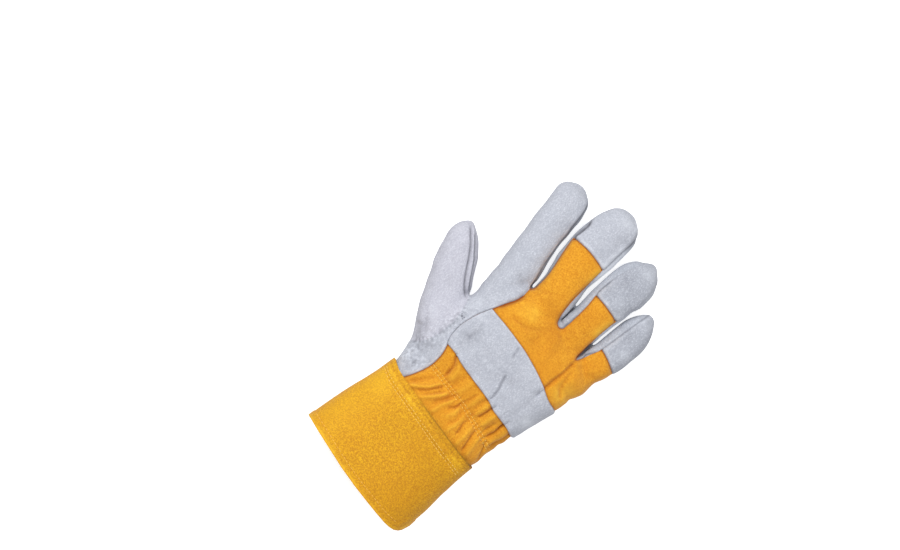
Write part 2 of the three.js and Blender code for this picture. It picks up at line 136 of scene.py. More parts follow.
after_a_rise = smooth_between([0, 1, 2], [[0.0], [1.0], [1.0]], np.array([1.5]))
print("a curve through 0, 1 and 1 is at", after_a_rise[0, 0], "between the last two")

# %% [markdown]
# Each row of sections becomes a closed tube. A fingertip is round, so its width is drawn as a square root:
# the square of the width falls evenly to nothing, as it does on a ball.

# %% Tubes from sections
RING_STEP = 1.3  # from one ring of points to the next
RING_SIDES = 96  # points in a ring


def rounded_ring(squareness, sides=RING_SIDES):
    """Places on a rounded box of half size 1."""
    turn = np.linspace(0, 2 * np.pi, sides, endpoint=False)
    c, s = np.cos(turn), np.sin(turn)
    reach = (np.abs(c) ** squareness + np.abs(s) ** squareness) ** (-1 / squareness)
    return c * reach, s * reach


def tube_faces(rings, sides, start=0):
    """Triangles of a tube through rings of points, and of a fan at each end. The two middles come last."""
    k = np.arange(sides)
    nxt = (k + 1) % sides
    faces = []
    for r in range(rings - 1):
        a, b = r * sides + k, r * sides + nxt
        faces += [np.stack([a, b, b + sides], 1), np.stack([a, b + sides, a + sides], 1)]
    low, high = rings * sides, rings * sides + 1
    last = (rings - 1) * sides
    faces.append(np.stack([nxt, k, np.full(sides, low)], 1))
    faces.append(np.stack([last + k, last + nxt, np.full(sides, high)], 1))
    return np.vstack(faces) + start


def wide_tube(rows, squareness, grow=0.0, step=RING_STEP, sides=RING_SIDES):
    """The hand or the cuff: rings that stand square to Y."""
    table = np.array(rows, float)
    y = np.linspace(table[0, 0], table[-1, 0], max(2, int(abs(table[-1, 0] - table[0, 0]) / step)))
    left, right, under, over = smooth_between(table[:, 0], table[:, 1:], y).T
    u, v = rounded_ring(squareness, sides)
    x = (left + right)[:, None] / 2 + ((right - left)[:, None] / 2 + grow) * u
    z = (under + over)[:, None] / 2 + ((over - under)[:, None] / 2 + grow) * v
    return np.stack([x, np.repeat(y[:, None], sides, 1), z], 2)


def closed(rings):
    """Points and outward triangles of a closed tube."""
    points = np.vstack([rings.reshape(-1, 3), rings[0].mean(0), rings[-1].mean(0)])
    faces = tube_faces(len(rings), rings.shape[1])
    a, b, c = points[faces].transpose(1, 0, 2)
    volume = (a * np.cross(b, c)).sum() / 6
    return points, faces if volume > 0 else faces[:, ::-1]


print("rings in the hand:", len(wide_tube(HAND_ROWS, HAND_SQUARENESS)))

# %% A finger's tube
TIP_ROUND = 9  # a finger's end reaches on by its last half width over this
POINT = 0.3    # half size of the very end


def finger_line(rows, step=RING_STEP):
    """The middle, half width, half height and sideways direction all along a finger."""
    table = np.array(rows, float)
    run = np.concatenate([[0], np.cumsum(np.hypot(*np.diff(table[:, :2], axis=0).T))])
    end_width = table[-1, 3]
    ahead = table[-1, :3] + (table[-1, :3] - table[-2, :3]) * (end_width / TIP_ROUND)
    table = np.vstack([table, [*ahead, POINT, POINT]])
    run = np.append(run, run[-1] + np.hypot(*(table[-1] - table[-2])[:2]))
    at = np.concatenate([np.arange(0, run[-2], step), run[-2] + (run[-1] - run[-2]) * np.linspace(0, 1, 7)])
    middle = smooth_between(run, table[:, :3], at)
    size = np.sqrt(np.maximum(smooth_between(run, table[:, 3:] ** 2, at), 0.05))
    along = np.gradient(middle[:, :2], at, axis=0)
    along /= np.linalg.norm(along, axis=1)[:, None]
    side = np.stack([along[:, 1], -along[:, 0], np.zeros(len(at))], 1)
    return middle, size, side


def finger_tube(rows):
    """Rings that stand square to the finger's own line."""
    middle, size, side = finger_line(rows)
    u, v = rounded_ring(FINGER_SQUARENESS)
    up = np.array([0, 0, 1.0])
    return (middle[:, None] + size[:, 0, None, None] * u[:, None] * side[:, None]
            + size[:, 1, None, None] * v[:, None] * up)


for name, rows in FINGER_ROWS.items():
    print("rings in the tube of the %s: %d" % (name, len(finger_tube(rows))))

# %% [markdown]
# ## One skin
# The tubes overlap where the fingers leave the hand. Blender's Remesh modifier fills the whole form with
# small cells and gives back its outer skin alone, as one even mesh, which a Boolean would not do.
# The corners between the fingers come out sharp, so the skin is relaxed there until it looks like leather.

# %% Join the tubes
CELL = 0.78  # how wide a cell of the skin is


def blender_mesh(name, points, faces):
    """A Blender mesh from arrays of points and faces."""
    mesh = bpy.data.meshes.new(name)
    corners = faces.shape[1]
    mesh.vertices.add(len(points))
    mesh.vertices.foreach_set("co", np.ascontiguousarray(points, np.float32).ravel())
    mesh.loops.add(faces.size)
    mesh.loops.foreach_set("vertex_index", np.ascontiguousarray(faces, np.int32).ravel())
    mesh.polygons.add(len(faces))
    mesh.polygons.foreach_set("loop_start", np.arange(0, faces.size, corners, dtype=np.int32))
    mesh.update(calc_edges=True)
    return mesh


def one_skin(tubes, cell):
    """The outer skin of overlapping closed tubes."""
    points, faces, count = [], [], 0
    for rings in tubes:
        p, f = closed(rings)
        points.append(p)
        faces.append(f + count)
        count += len(p)
    rough = bpy.data.objects.new("rough", blender_mesh("rough", np.vstack(points), np.vstack(faces)))
    bpy.context.collection.objects.link(rough)
    cells = rough.modifiers.new("cells", "REMESH")
    cells.mode = "VOXEL"
    cells.voxel_size = cell
    mesh = rough.evaluated_get(bpy.context.evaluated_depsgraph_get()).to_mesh()
    at = np.empty(len(mesh.vertices) * 3, np.float32)
    mesh.vertices.foreach_get("co", at)
    quads = np.empty(len(mesh.loops), np.int32)
    mesh.loops.foreach_get("vertex_index", quads)
    sizes = np.empty(len(mesh.polygons), np.int32)
    mesh.polygons.foreach_get("loop_total", sizes)
    assert (sizes == 4).all()
    quads = quads.reshape(-1, 4)
    old = rough.data
    bpy.data.objects.remove(rough)
    bpy.data.meshes.remove(old)
    return at.reshape(-1, 3).astype(float), quads


# (y, left, right, under, over): the web between the ring finger and the little finger
WEB_ROWS = [(50, 45.5, 56.0, 8.0, 27.0), (57, 46.0, 55.2, 10.0, 26.0), (62, 47.2, 53.8, 13.0, 24.0),
            (66, 48.2, 52.6, 15.0, 22.4), (68.5, 49.0, 51.8, 16.5, 20.8)]
wide_tubes = [wide_tube(HAND_ROWS, HAND_SQUARENESS, sides=200), wide_tube(WEB_ROWS, HAND_SQUARENESS)]
hand_points, hand_quads = one_skin(wide_tubes + [finger_tube(rows) for rows in FINGER_ROWS.values()], CELL)
print("skin of the hand:", len(hand_points), "points,", len(hand_quads), "faces")


# %% Relax the corners
def relax(points, quads, weight, rounds):
    """Each point moves towards the middle of its neighbours, by its weight, so many times."""
    pairs = np.vstack([quads[:, [0, 1]], quads[:, [1, 2]], quads[:, [2, 3]], quads[:, [3, 0]]])
    degree = np.bincount(pairs.ravel(), minlength=len(points))[:, None]
    weight = np.broadcast_to(weight, len(points))[:, None]
    for _ in range(rounds):
        total = np.zeros_like(points)
        for axis in range(3):
            total[:, axis] = (np.bincount(pairs[:, 0], points[pairs[:, 1], axis], len(points))
                              + np.bincount(pairs[:, 1], points[pairs[:, 0], axis], len(points)))
        points = points + weight * (total / degree - points)
    return points


def around(points, x, y, reach):
    """1 at a place seen from above, falling softly to 0."""
    return np.exp(-((points[:, 0] - x) ** 2 + (points[:, 1] - y) ** 2) / reach ** 2)


CROTCHES = [(-8.2, 60, 6), (23.6, 61, 6), (50.8, 57, 6)]
THUMB_ROOT = [(-30, 17, 7.5), (-36, 4, 16), (-32, -20, 12)]
EVENLY, AT_CROTCHES, AT_ROOT = (0.5, 5), (0.6, 18), (0.7, 90)  # how strongly, and how many rounds
hand_points = relax(hand_points, hand_quads, *EVENLY)
crotch = np.clip(sum(around(hand_points, *place) for place in CROTCHES), 0, 1)
root = np.clip(sum(around(hand_points, *place) for place in THUMB_ROOT), 0, 1)
hand_points = relax(hand_points, hand_quads, AT_CROTCHES[0] * crotch, AT_CROTCHES[1])
hand_points = relax(hand_points, hand_quads, AT_ROOT[0] * root, AT_ROOT[1])
print("relaxed at", len(CROTCHES), "crotches and the root of the thumb")

# %% [markdown]
# ## Seams
# The panels meet along seams that are drawn as lines seen from above, as on a paper pattern.
# Only the seam along the little-finger side is drawn from the side.

# %% The pattern's lines
THUMB_SEAM = [(-38.5, 41), (-30.4, 21.8), (-26, 12), (-24.4, 4), (-24, -4), (-24.2, -11), (-25.6, -18),
              (-30, -25.5), (-38, -33)]
BACK_SEAM = [(-8.2, 54.6), (-8.6, 50), (-11, 42.5), (-14.4, 31.5), (-18.2, 18), (-19.2, 8), (-18, -1),
             (-14.2, -9), (-11, -17), (-9.8, -26), (-10.8, -34), (-13, -42), (-16.5, -52), (-17.5, -60)]
FORK_FEET = {
    ("index", "middle"): (-8.2, 54.6, 4.3),
    ("middle", "ring"): (23.6, 54.4, 4.3),
    ("ring", "little"): (50.8, 51.6, 4.1),
}
FORK_INSET = 3.1  # the strips between the fingers reach this far over the finger's edge
FRONT_SEAM = [(-8.2, 54.6), (-4, 52.2), (4, 51.2), (16, 50.8), (30, 50.6), (42, 50.2), (50.8, 51.6)]
TIP_SEAMS = {"middle": (107.4, 2.4, 109.3), "ring": (94.6, 1.3, 94.5), "little": (74.8, 1.6, 70.0)}
ULNAR_SEAM = [(-66, 12.6), (-40, 12.6), (-10, 11.8), (30, 11.2), (50, 11.2), (62, 10.6), (82, 8.8), (98, 7.2),
              (105, 7.0), (111, 8.4), (122, 10.6)]
STRAP_OUTLINE = [(-14.0, 31.4), (3, 31.8), (20, 31.4), (35, 29.6), (50, 26.4), (62, 22.6), (90, 20),
                 (90, -14.6), (66, -14.2), (56, -12.6), (44, -12.6), (34, -10.8), (20, -10.4), (4, -10.0),
                 (-6, -8.6), (-13.6, -8.8), (-17.4, -1.4), (-18.6, 7.6), (-17.6, 17.6)]
TAB_OUTLINE = [(-25, -40), (-27, -50), (-28, -58), (-26, -63), (-21, -67), (-13, -70.5), (7, -75.5),
               (27, -79), (47, -81), (51, -81), (59, -75.5), (61.5, -69), (60.8, -58), (60, -40)]
print("the strap's outline goes through", len(STRAP_OUTLINE), "points, the tab's through", len(TAB_OUTLINE))

# %% The strips between the fingers as they show from above
FORKS_ABOVE = {
    ("index", "middle"): [
        (-36, 160), (-31.5, 134), (-28.4, 126), (-26.6, 117), (-24.3, 108), (-20.8, 95), (-16.2, 81),
        (-12, 70), (-9.8, 64.5), (-8.8, 61.6), (-7.6, 64.5), (-8.2, 72), (-9.8, 80), (-13.2, 90),
        (-16.6, 100), (-18.4, 107), (-19, 115), (-20.2, 123), (-22, 131), (-26, 160)],
    ("middle", "ring"): [
        (0, 162), (4.5, 149.5), (9.6, 140), (11, 125), (12.3, 110), (13.5, 100), (14.8, 90), (16.2, 80),
        (18.4, 70), (20.4, 64.5), (22.6, 61.2), (25.4, 60.6), (27.6, 62.6), (27.6, 66), (26.8, 75),
        (25.6, 85), (23.4, 95), (22, 104), (22, 112), (23.8, 125), (26, 134), (27, 160)],
    ("ring", "little"): [
        (41, 160), (44.6, 133), (46.8, 125), (48, 113), (47.6, 104), (46.9, 90), (47.2, 80), (48.2, 70),
        (49.2, 62), (50.8, 56), (52.2, 58.5), (54, 66), (56, 74), (56.6, 90), (57.1, 105), (57.7, 114),
        (58.4, 150)],
}
print("strips drawn:", len(FORKS_ABOVE))


# %% Distances to lines and outlines
def softened(line, step=1.5):
    """The same line with its corners eased."""
    line = np.array(line, float)
    run = np.concatenate([[0], np.cumsum(np.hypot(*np.diff(line, axis=0).T))])
    return smooth_between(run, line, np.append(np.arange(0, run[-1], step), run[-1]))


def to_line(points, line):
    """Distance to a line, how far along it the nearest place is, and the line's length."""
    points, line = points[:, :2], np.asarray(line, float)
    best = np.full(len(points), 1e9)
    along = np.zeros(len(points))
    run = 0.0
    for a, b in zip(line[:-1], line[1:]):
        length = np.hypot(*(b - a))
        if length < 1e-9:
            continue
        t = np.clip(((points - a) @ (b - a)) / length ** 2, 0, 1)
        off = np.hypot(*(points - a - t[:, None] * (b - a)).T)
        closer = off < best
        best[closer], along[closer] = off[closer], (run + t * length)[closer]
        run += length
    return best, along, run


def inside(points, outline):
    """Distance to an outline, above zero inside it."""
    ring = np.vstack([outline, outline[:1]])
    off = to_line(points, ring)[0]
    x, y = points[:, 0], points[:, 1]
    crossed = np.zeros(len(points), bool)
    for (x0, y0), (x1, y1) in zip(ring[:-1], ring[1:]):
        if y0 != y1:
            crossed ^= ((y0 > y) != (y1 > y)) & (x < (x1 - x0) * (y - y0) / (y1 - y0) + x0)
    return np.where(crossed, off, -off)


print("the strap's outline is %.1f mm away from 0, 0" % inside(np.zeros((1, 3)), STRAP_OUTLINE)[0])


# %% Place the strips and the fingertips' seams
def fork_leg(finger, side, inset=FORK_INSET):
    """The strip's edge along one side of a finger, and on past its tip."""
    middle, size, sideways = finger_line(FINGER_ROWS[finger])
    use = (middle[:, 1] > 61) & (size[:, 0] > 8.6)
    leg = (middle + side * (size[:, :1] - inset) * sideways)[use][:, :2]
    ahead = leg[-1] + (leg[-1] - leg[-4]) / np.hypot(*(leg[-1] - leg[-4])) * 30
    return np.vstack([leg, ahead])


forks, above_forks = {}, {}
for (before, after), (x, y, half) in FORK_FEET.items():
    foot = [(x - half, y + 4.6), (x - half * 0.55, y + 1.5), (x, y), (x + half * 0.55, y + 1.5),
            (x + half, y + 4.6)]
    forks[before, after] = np.vstack([fork_leg(before, 1)[::-1], foot, fork_leg(after, -1)])
    above_forks[before, after] = softened(FORKS_ABOVE[before, after])
tip_lines = {}
for finger, (left, bow, right) in TIP_SEAMS.items():
    middle, size, sideways = finger_line(FINGER_ROWS[finger])
    ends = []
    for side, height in ((-1, left), (1, right)):
        edge = middle + side * size[:, :1] * sideways
        ends.append((np.interp(height, edge[:, 1], edge[:, 0]) + side * 1.5, height))
    share = np.linspace(0, 1, 9)
    tip_lines[finger] = np.stack([ends[0][0] + (ends[1][0] - ends[0][0]) * share,
                                  left + (right - left) * share + bow * np.sin(np.pi * share)], 1)
print("forks:", len(forks), " tip seams:", len(tip_lines))


# %% The height that parts the back from the palm
def parting(points):
    """The height of the side seams: the little-finger seam, or the middle of a finger between its strips."""
    x, y = points[:, 0], points[:, 1]
    level = np.where(y > 55, 18.5, 20.0)
    for finger, limits in {"middle": (-26, 23), "ring": (23, 50)}.items():
        middle = finger_line(FINGER_ROWS[finger])[0]
        use = (x > limits[0]) & (x < limits[1]) & (y > 50)
        level[use] = np.interp(y[use], middle[:, 1], middle[:, 2])
    ulnar = np.array(ULNAR_SEAM)
    use = x > 50
    level[use] = np.interp(y[use], ulnar[:, 0], ulnar[:, 1])
    return level


print("side seam beside the strap: %.1f mm high" % parting(np.array([[65.0, 5.0, 0.0]]))[0])

# %% [markdown]
# ## Folds, gathers and lumps
# Soft materials are never smooth. Cloth simulation could wrinkle the glove, but the folds of this one are
# particular: the elastic pulls the wrist into a fan, and creases run where the hand bends. So each fold is
# drawn as a line with a depth and a width, and the skin is pushed in or out along it.

# %% Folds as lines
# (line, depth, width, how dark it is): a negative depth is a valley and a positive one a ridge. The darkness
# is painted shade along a valley, and below zero a painted highlight along a ridge's top
BACK_FOLDS = [
    ([(51.5, 56), (52.4, 45), (53, 25), (54, 16)], -2.0, 1.5, 0.55),
    ([(54.5, 50), (58.5, 38), (66, 29)], -0.9, 2.0, 0.25),
    ([(-3, 39.5), (8, 41.5), (15, 46), (20, 52)], -0.9, 2.2, 0.28),
    ([(-9.6, 62), (-8.2, 52), (-11, 41), (-12, 35)], -1.0, 2.4, 0.45),
    ([(22, 60), (21, 48), (22, 36)], -0.6, 3.0, 0.1),
    ([(30, 58), (33, 46), (38, 34)], 0.5, 3.0, 0.0),
    ([(2, 60), (4, 48), (4, 34)], 1.1, 6.5, 0.0),
    ([(8, 76), (2, 70), (-4, 68)], -0.5, 1.8, 0.12),
    ([(28, 74), (36, 71), (46, 73)], -0.5, 1.8, 0.12),
    ([(56, 60), (62, 56), (70, 58)], -0.5, 1.8, 0.12),
]
WRIST_FOLDS = [
    ([(-5.5, -5), (-4.1, -8.8), (0.2, -16.7), (2.4, -26)], -1.7, 1.1, 0.5),
    ([(0, -5), (4.6, -15), (7, -26)], 1.2, 2.6, -0.18),
    ([(12.4, -5), (11.6, -14), (10.8, -27)], -0.8, 2.0, 0.12),
    ([(17.4, -5), (17.8, -16), (16.6, -27)], 1.0, 2.8, -0.18),
    ([(27.2, -13), (26.8, -19.3), (25.4, -25.3), (24.4, -31.4), (22.4, -35), (21.8, -39)], -1.2, 0.9, 0.42),
    ([(30, -5), (30.2, -16), (28.4, -27)], 0.9, 2.2, -0.18),
    ([(35.8, -6), (34.8, -13.7), (32.6, -26.5)], -1.1, 1.4, 0.28),
    ([(38.6, -6), (38, -16), (36, -27)], 1.0, 2.0, -0.18),
    ([(42.2, -7), (41.4, -15.9), (39.6, -26.5)], -1.9, 1.0, 0.6),
    ([(47.4, -7), (46.4, -17), (45, -28)], 1.1, 2.4, -0.18),
    ([(51, -15), (50.4, -22), (49.6, -28.5)], -0.9, 1.2, 0.2),
    ([(54.6, -7), (55.4, -13.3), (55.6, -20.8), (55, -29)], -2.4, 1.0, 0.7),
    ([(59.6, -8), (59.4, -20), (58.6, -30)], 1.1, 1.8, -0.18),
    ([(63.6, -10), (62.8, -22), (62, -31)], -1.7, 1.1, 0.48),
    ([(-0.6, -27.5), (-4.4, -36), (-10.6, -47)], -1.2, 1.4, 0.3),
    ([(4.9, -28), (2.8, -35.5), (-1.1, -41.4), (-9, -49.6)], 1.8, 1.8, -0.28),
    ([(7, -27.5), (4.8, -36), (2.4, -40.6), (-2, -46.6)], -1.4, 1.1, 0.42),
    ([(10.4, -30), (8.5, -35.4), (6.3, -39.7), (2.4, -45)], -0.8, 1.0, 0.28),
    ([(13.2, -28), (10.8, -37.1), (8.4, -41.3), (1.6, -49.6)], 1.7, 1.8, -0.26),
    ([(17.4, -25), (15.9, -30.7), (13.9, -36.7), (11.4, -44)], -1.3, 1.3, 0.36),
    ([(20.7, -27.6), (18.5, -34.2), (16.7, -40.3), (14.5, -49)], 1.4, 1.7, -0.24),
    ([(27.2, -28), (26.6, -35.3), (24.4, -43)], 1.2, 1.7, -0.26),
    ([(29.4, -26), (31, -36.5), (29.8, -45)], -1.0, 1.3, 0.24),
    ([(33, -29), (32.8, -35), (34.2, -42), (35, -50)], 1.1, 1.5, -0.24),
    ([(35.5, -20), (35.6, -27.7), (36.5, -33.3), (39.2, -40), (40.8, -45)], -1.3, 0.9, 0.5),
    ([(41, -29), (43.6, -37), (46.2, -50)], 1.1, 2.0, -0.18),
    ([(45, -29.5), (47, -34), (50.8, -44.2), (52.4, -50)], -1.4, 0.9, 0.45),
    ([(50.6, -30), (54, -40), (57, -50)], 1.2, 2.1, -0.18),
    ([(58.6, -30), (60, -35), (62.4, -42), (64.4, -50)], -1.5, 0.9, 0.45),
]
LEATHER_FOLDS = [
    ([(-71, 56.5), (-57, 45.5), (-50, 38), (-44, 31), (-38, 25.5), (-31.5, 21.6)], -1.5, 0.9, 0.75),
    ([(-70, 57.8), (-59, 48.8), (-51, 42.2), (-44.6, 35.8), (-38, 28.2), (-32, 22.8)], 0.7, 0.9, -0.1),
    ([(-64.9, 55.7), (-54.9, 47.5), (-48.5, 41.3), (-41.9, 33.7), (-36.9, 27.7), (-33.3, 23.7)],
     -0.8, 0.7, 0.75),
    ([(-24.6, 8), (-24, -3), (-24.6, -14)], -0.6, 1.9, 0.2),
    ([(-40.5, -14), (-35.5, -20.5), (-29, -25.5), (-22, -25)], -1.4, 3.6, 0.16),
    ([(-19.8, 105), (-19.4, 112), (-19.2, 118), (-19.8, 126)], -1.0, 2.2, 0.8),
    ([(-10, -24), (-15, -31), (-21, -38)], -0.5, 2.2, 0.14),
    ([(-40, -8), (-34, -14), (-29, -18)], -0.8, 2.4, 0.16),
    ([(-27, -24), (-20, -19), (-15, -12)], -0.7, 3.0, 0.18),
    ([(-22, -30), (-19, -36), (-20, -46)], -0.6, 2.4, 0.12),
    ([(-45, -3), (-38, -10), (-34, -18)], -0.5, 3.0, 0.1),
    ([(-25, 62), (-16, 60), (-10.5, 60)], -0.6, 3.0, 0.14),
    ([(-42, 76), (-30, 72), (-18, 78)], -0.35, 3.5, 0.05),
    ([(-28, 36), (-22, 30), (-18, 28)], -0.4, 3.0, 0.05),
]
PALM_FOLDS = [
    ([(-2, 60), (0, 46), (2, 30)], -1.2, 3.0, 0.25),
    ([(-34, 14), (-22, 2), (-20, -16), (-24, -30)], -1.0, 3.0, 0.25),
    ([(-36, -6), (-24, -12), (-4, -16)], -0.7, 2.4, 0.18),
    ([(-34, -17), (-22, -23), (-8, -22)], -0.6, 2.2, 0.16),
    ([(34, 45), (46, 34), (58, 20)], -0.8, 3.2, 0.18),
    ([(22, 46), (34, 30), (40, 16)], -0.6, 3.2, 0.12),
]
print("drawn folds:", len(BACK_FOLDS) + len(WRIST_FOLDS) + len(LEATHER_FOLDS) + len(PALM_FOLDS))


# %% Slots, and places of wear and painted light
# (line, depth, width, how dark): the slots between the fingers, painted with shade deep inside
SLOTS = [
    ([(22.4, 63), (21.6, 70), (20.9, 79)], -1.4, 0.9, 1.0),
    ([(50.6, 56), (50, 63), (49.7, 74)], -1.8, 1.1, 1.0),
    ([(-8.9, 60.5), (-9.6, 64), (-11, 69)], -0.8, 1.1, 1.0),
]
# (x, y, reach, how far out): where the strip beside a slot stands up and catches the light
STRIP_SWELLS = [(25.2, 66, 4.2, 2.0), (24.2, 73, 3.6, 1.2), (53.2, 64, 4.0, 1.8), (52.8, 71, 3.6, 1.0)]
# (x, y, reach, how far out): where a side facing left or right stands out further than its sections, or less
LEFT_SIDES = [
    (-41, -20, 7.5, -1.9), (-31.5, -29, 5, 1.4), (-49, -12, 8.5, -2.3), (-57, 1, 9, -2.5),
    (-65, 13, 9, -2.1), (-71.5, 26, 8, -1.1), (-75.5, 35, 6, -1.0), (-31, -36, 5, 0.3), (-33.5, 31, 5, -0.9),
    (-35, 42, 6, -0.9), (-37, 53, 6, -0.8), (-38.6, 60.5, 5.5, 0.75), (-41.5, 74, 8, 0.6),
    (-51.5, 108, 8, -0.6), (-8.5, 70, 7, 0.9), (-10, 82, 7, 0.9), (-14.5, 92, 6, 0.8), (19.3, 124, 7, 0.8),
    (23, 133, 5, 0.8), (50.8, 88, 8, 0.3), (51, 100, 8, 0.4), (56, 116, 4, 0.6), (-54.4, 124, 4, 0.5),
    (-67.5, 20, 4, 0.4),
]
RIGHT_SIDES = [
    (-36, 28, 4.5, 1.0), (-49, 44, 4.5, 0.8), (-19.5, 92, 7, 0.5), (-23.5, 105, 7, 1.2),
    (-27.5, 118, 7, 1.1), (15, 102, 8, 0.8), (14, 115, 8, 1.0), (12.7, 128, 8, 1.0), (9.5, 138, 6, 1.3),
    (5, 146, 5, 2.4), (48.3, 86, 9, 0.6), (48.6, 99, 7, 0.6), (49.4, 108, 4, -0.7), (49.6, 115, 7, 0.8),
    (48.4, 126, 6, 0.6), (72, 62, 8, 0.9), (74.5, 76, 8, 1.1), (75, 89, 7, 0.6), (73.3, 100, 7, 0.6),
    (68, 110, 5, 0.6), (63.6, 116, 4, 0.8), (69.4, 24, 8, 0.9), (64.4, -21, 6, 1.3), (63.6, -30, 6, 1.1),
    (63.6, -44, 6, 1.3),
]
# (x, y, reach, how pale): where a side facing right is painted lighter, though it turns away from the light
PAINTED_LIGHT_SIDES = [(16, 100, 5, 0.5), (15.6, 107, 5, 0.7), (15, 114, 5, 0.7), (14, 121, 5, 0.5),
              (12.6, 129, 5, 0.4), (47, 80, 5, 0.5), (48.4, 88, 5, 0.5), (49.6, 97, 5, 0.4)]
# (x, y, reach, how dark): dirt and nap wear, and painted shade and light; below zero a patch is paler
WEAR_AND_PAINTED_LIGHT = [
    (-10.5, 12.5, 4.5, 0.18), (-9.4, 6, 4.6, 0.36), (-8, -1, 4.2, 0.22), (-13, 21, 3.4, -0.18),
    (-2, 13, 5, 0.12), (24, 24, 8, 0.05), (38, -2, 8, 0.05), (32, 14, 7, 0.18), (64, 1, 6, -0.3),
    (56, 14, 6, 0.06), (-14, 60, 7, 0.18), (-22, 66, 8, 0.07), (-28, 108, 6, 0.12), (-38, 94, 9, 0.05),
    (-60, 36, 9, 0.05), (-36, -18.5, 5, 0.08), (-30.5, -21.5, 5, 0.18), (-27, -26, 4, 0.22),
    (-24, 5, 5, 0.1), (-22, 44, 7, 0.08), (5, 135, 7, 0.12), (-40, -5, 5, -0.2), (-26, 24, 5, -0.22),
    (-2, 145, 5, -0.3), (-50, 20, 8, 0.1), (30, 119, 7, 0.2), (36, 134, 6, -0.2), (38, 103, 4, -0.16),
    (60, 96, 5, 0.26), (30, 105, 5, 0.08), (-2, 122, 14, 0.06), (4, 117, 6, 0.04), (-41, 118, 7, 0.07),
    (14, 8, 20, 0.09), (6, 136, 4, 0.1), (70, 84, 5, -0.18), (62, 110, 5, -0.12), (-20, -34, 6, 0.06),
    (-30, -38, 6, -0.25), (20, 10, 9, 0.05), (8, -2, 7, 0.04), (-18, -22, 6, 0.1), (6, 52, 7, -0.32),
    (-3, 45, 5, -0.12), (28, 62, 16, 0.25), (2, 66, 7, 0.27), (20, 40, 7, 0.12), (30, 80, 7, 0.14),
    (2, 96, 8, 0.06), (62, 60, 6, 0.06), (64, 33, 8, -0.45),
]
# (x, y, reach): where the leather is crumpled by the hand
CRUMPLED = [(-26, 13, 5), (-25.5, 3, 5), (-24, -7, 5), (-24, -16, 5.5), (-28, -24, 6), (-29, -36, 9),
            (-19, -34, 7)]
print("handled places:", len(WEAR_AND_PAINTED_LIGHT), " crumpled places:", len(CRUMPLED))


# %% Directions, soft steps, lumps and folds
def face_normals(points, faces):
    """Outward directions of the points, from the faces that meet there."""
    a, b, c = points[faces[:, 0]], points[faces[:, 1]], points[faces[:, 2]]
    flat = np.cross(b - a, c - a)
    if faces.shape[1] == 4:
        flat = flat + np.cross(c - a, points[faces[:, 3]] - a)
    out = np.zeros_like(points)
    for axis in range(3):
        for corner in range(faces.shape[1]):
            out[:, axis] += np.bincount(faces[:, corner], flat[:, axis], len(points))
    return out / np.maximum(np.linalg.norm(out, axis=1), 1e-9)[:, None]


def ease(value, low, high):
    """0 below low, 1 above high, smooth between."""
    t = np.clip((value - low) / (high - low), 0, 1)
    return t * t * (3 - 2 * t)


def lumps(points, size, seed):
    """Soft random heights from -1 to 1, with lumps of the given size, the same at every run."""
    table = np.random.default_rng(seed).uniform(-1, 1, (32, 32, 32))
    low = np.floor(points / size).astype(int)
    t = points / size - low
    t = t * t * (3 - 2 * t)
    total = np.zeros(len(points))
    for corner in np.ndindex(2, 2, 2):
        share = np.prod(np.where(corner, t, 1 - t), axis=1)
        i, j, k = ((low + corner) % 32).T
        total += share * table[i, j, k]
    return total


def fold_over(points, folds, where, wander=0.0):
    """Height that a list of folds adds, and the painted shade of its valleys and painted highlights of its
    ridges. Real folds wander and are deeper in places.
    """
    height, dark = np.zeros(len(points)), np.zeros(len(points))
    bent = points[:, :2] + wander * np.stack([lumps(points, 7.5, 51), lumps(points, 7.5, 52)], 1)
    uneven = 1 + 0.45 * (wander > 0) * lumps(points, 8, 53)
    for line, depth, width, shade in folds:
        off, along, length = to_line(bent, softened(line))
        fade = uneven * ease(along, -0.5, 4) * ease(length - along, -0.5, 4)
        height += where * fade * depth * np.exp(-(off / width) ** 2)
        dark += where * fade * shade * np.exp(-(off / (0.55 * width + 0.25)) ** 2)
    return height, dark


hand_out = face_normals(hand_points, hand_quads)
print("points of the skin that face up: %.0f percent" % (100 * (hand_out[:, 2] > 0).mean()))

# %% Push the skin along the folds
level = parting(hand_points)
above = ease(hand_out[:, 2], 0.0, 0.4) * (hand_points[:, 2] > 8)
below = ease(-hand_out[:, 2], 0.1, 0.5)
height, crease = fold_over(hand_points, BACK_FOLDS + LEATHER_FOLDS, above)
for folds, where, wander in ((WRIST_FOLDS, above, 1.1), (PALM_FOLDS, below, 0.8),
                             (SLOTS, ease(hand_points[:, 2], 14, 24), 0.0)):
    more = fold_over(hand_points, folds, where, wander)
    height, crease = height + more[0], crease + more[1]
for x, y, reach, out in STRIP_SWELLS:
    height += above * out * around(hand_points, x, y, reach)
# patches of wear and painted light on the upper side
wear_and_painted_light = sum(dark * around(hand_points, x, y, reach) for x, y, reach, dark in WEAR_AND_PAINTED_LIGHT)
crease += above * wear_and_painted_light * (0.8 + 0.5 * lumps(hand_points, 2.2, 40) + 0.4 * lumps(hand_points, 5, 42))
facing_right = ease(hand_out[:, 0], 0.1, 0.5) * (hand_points[:, 2] > 8)
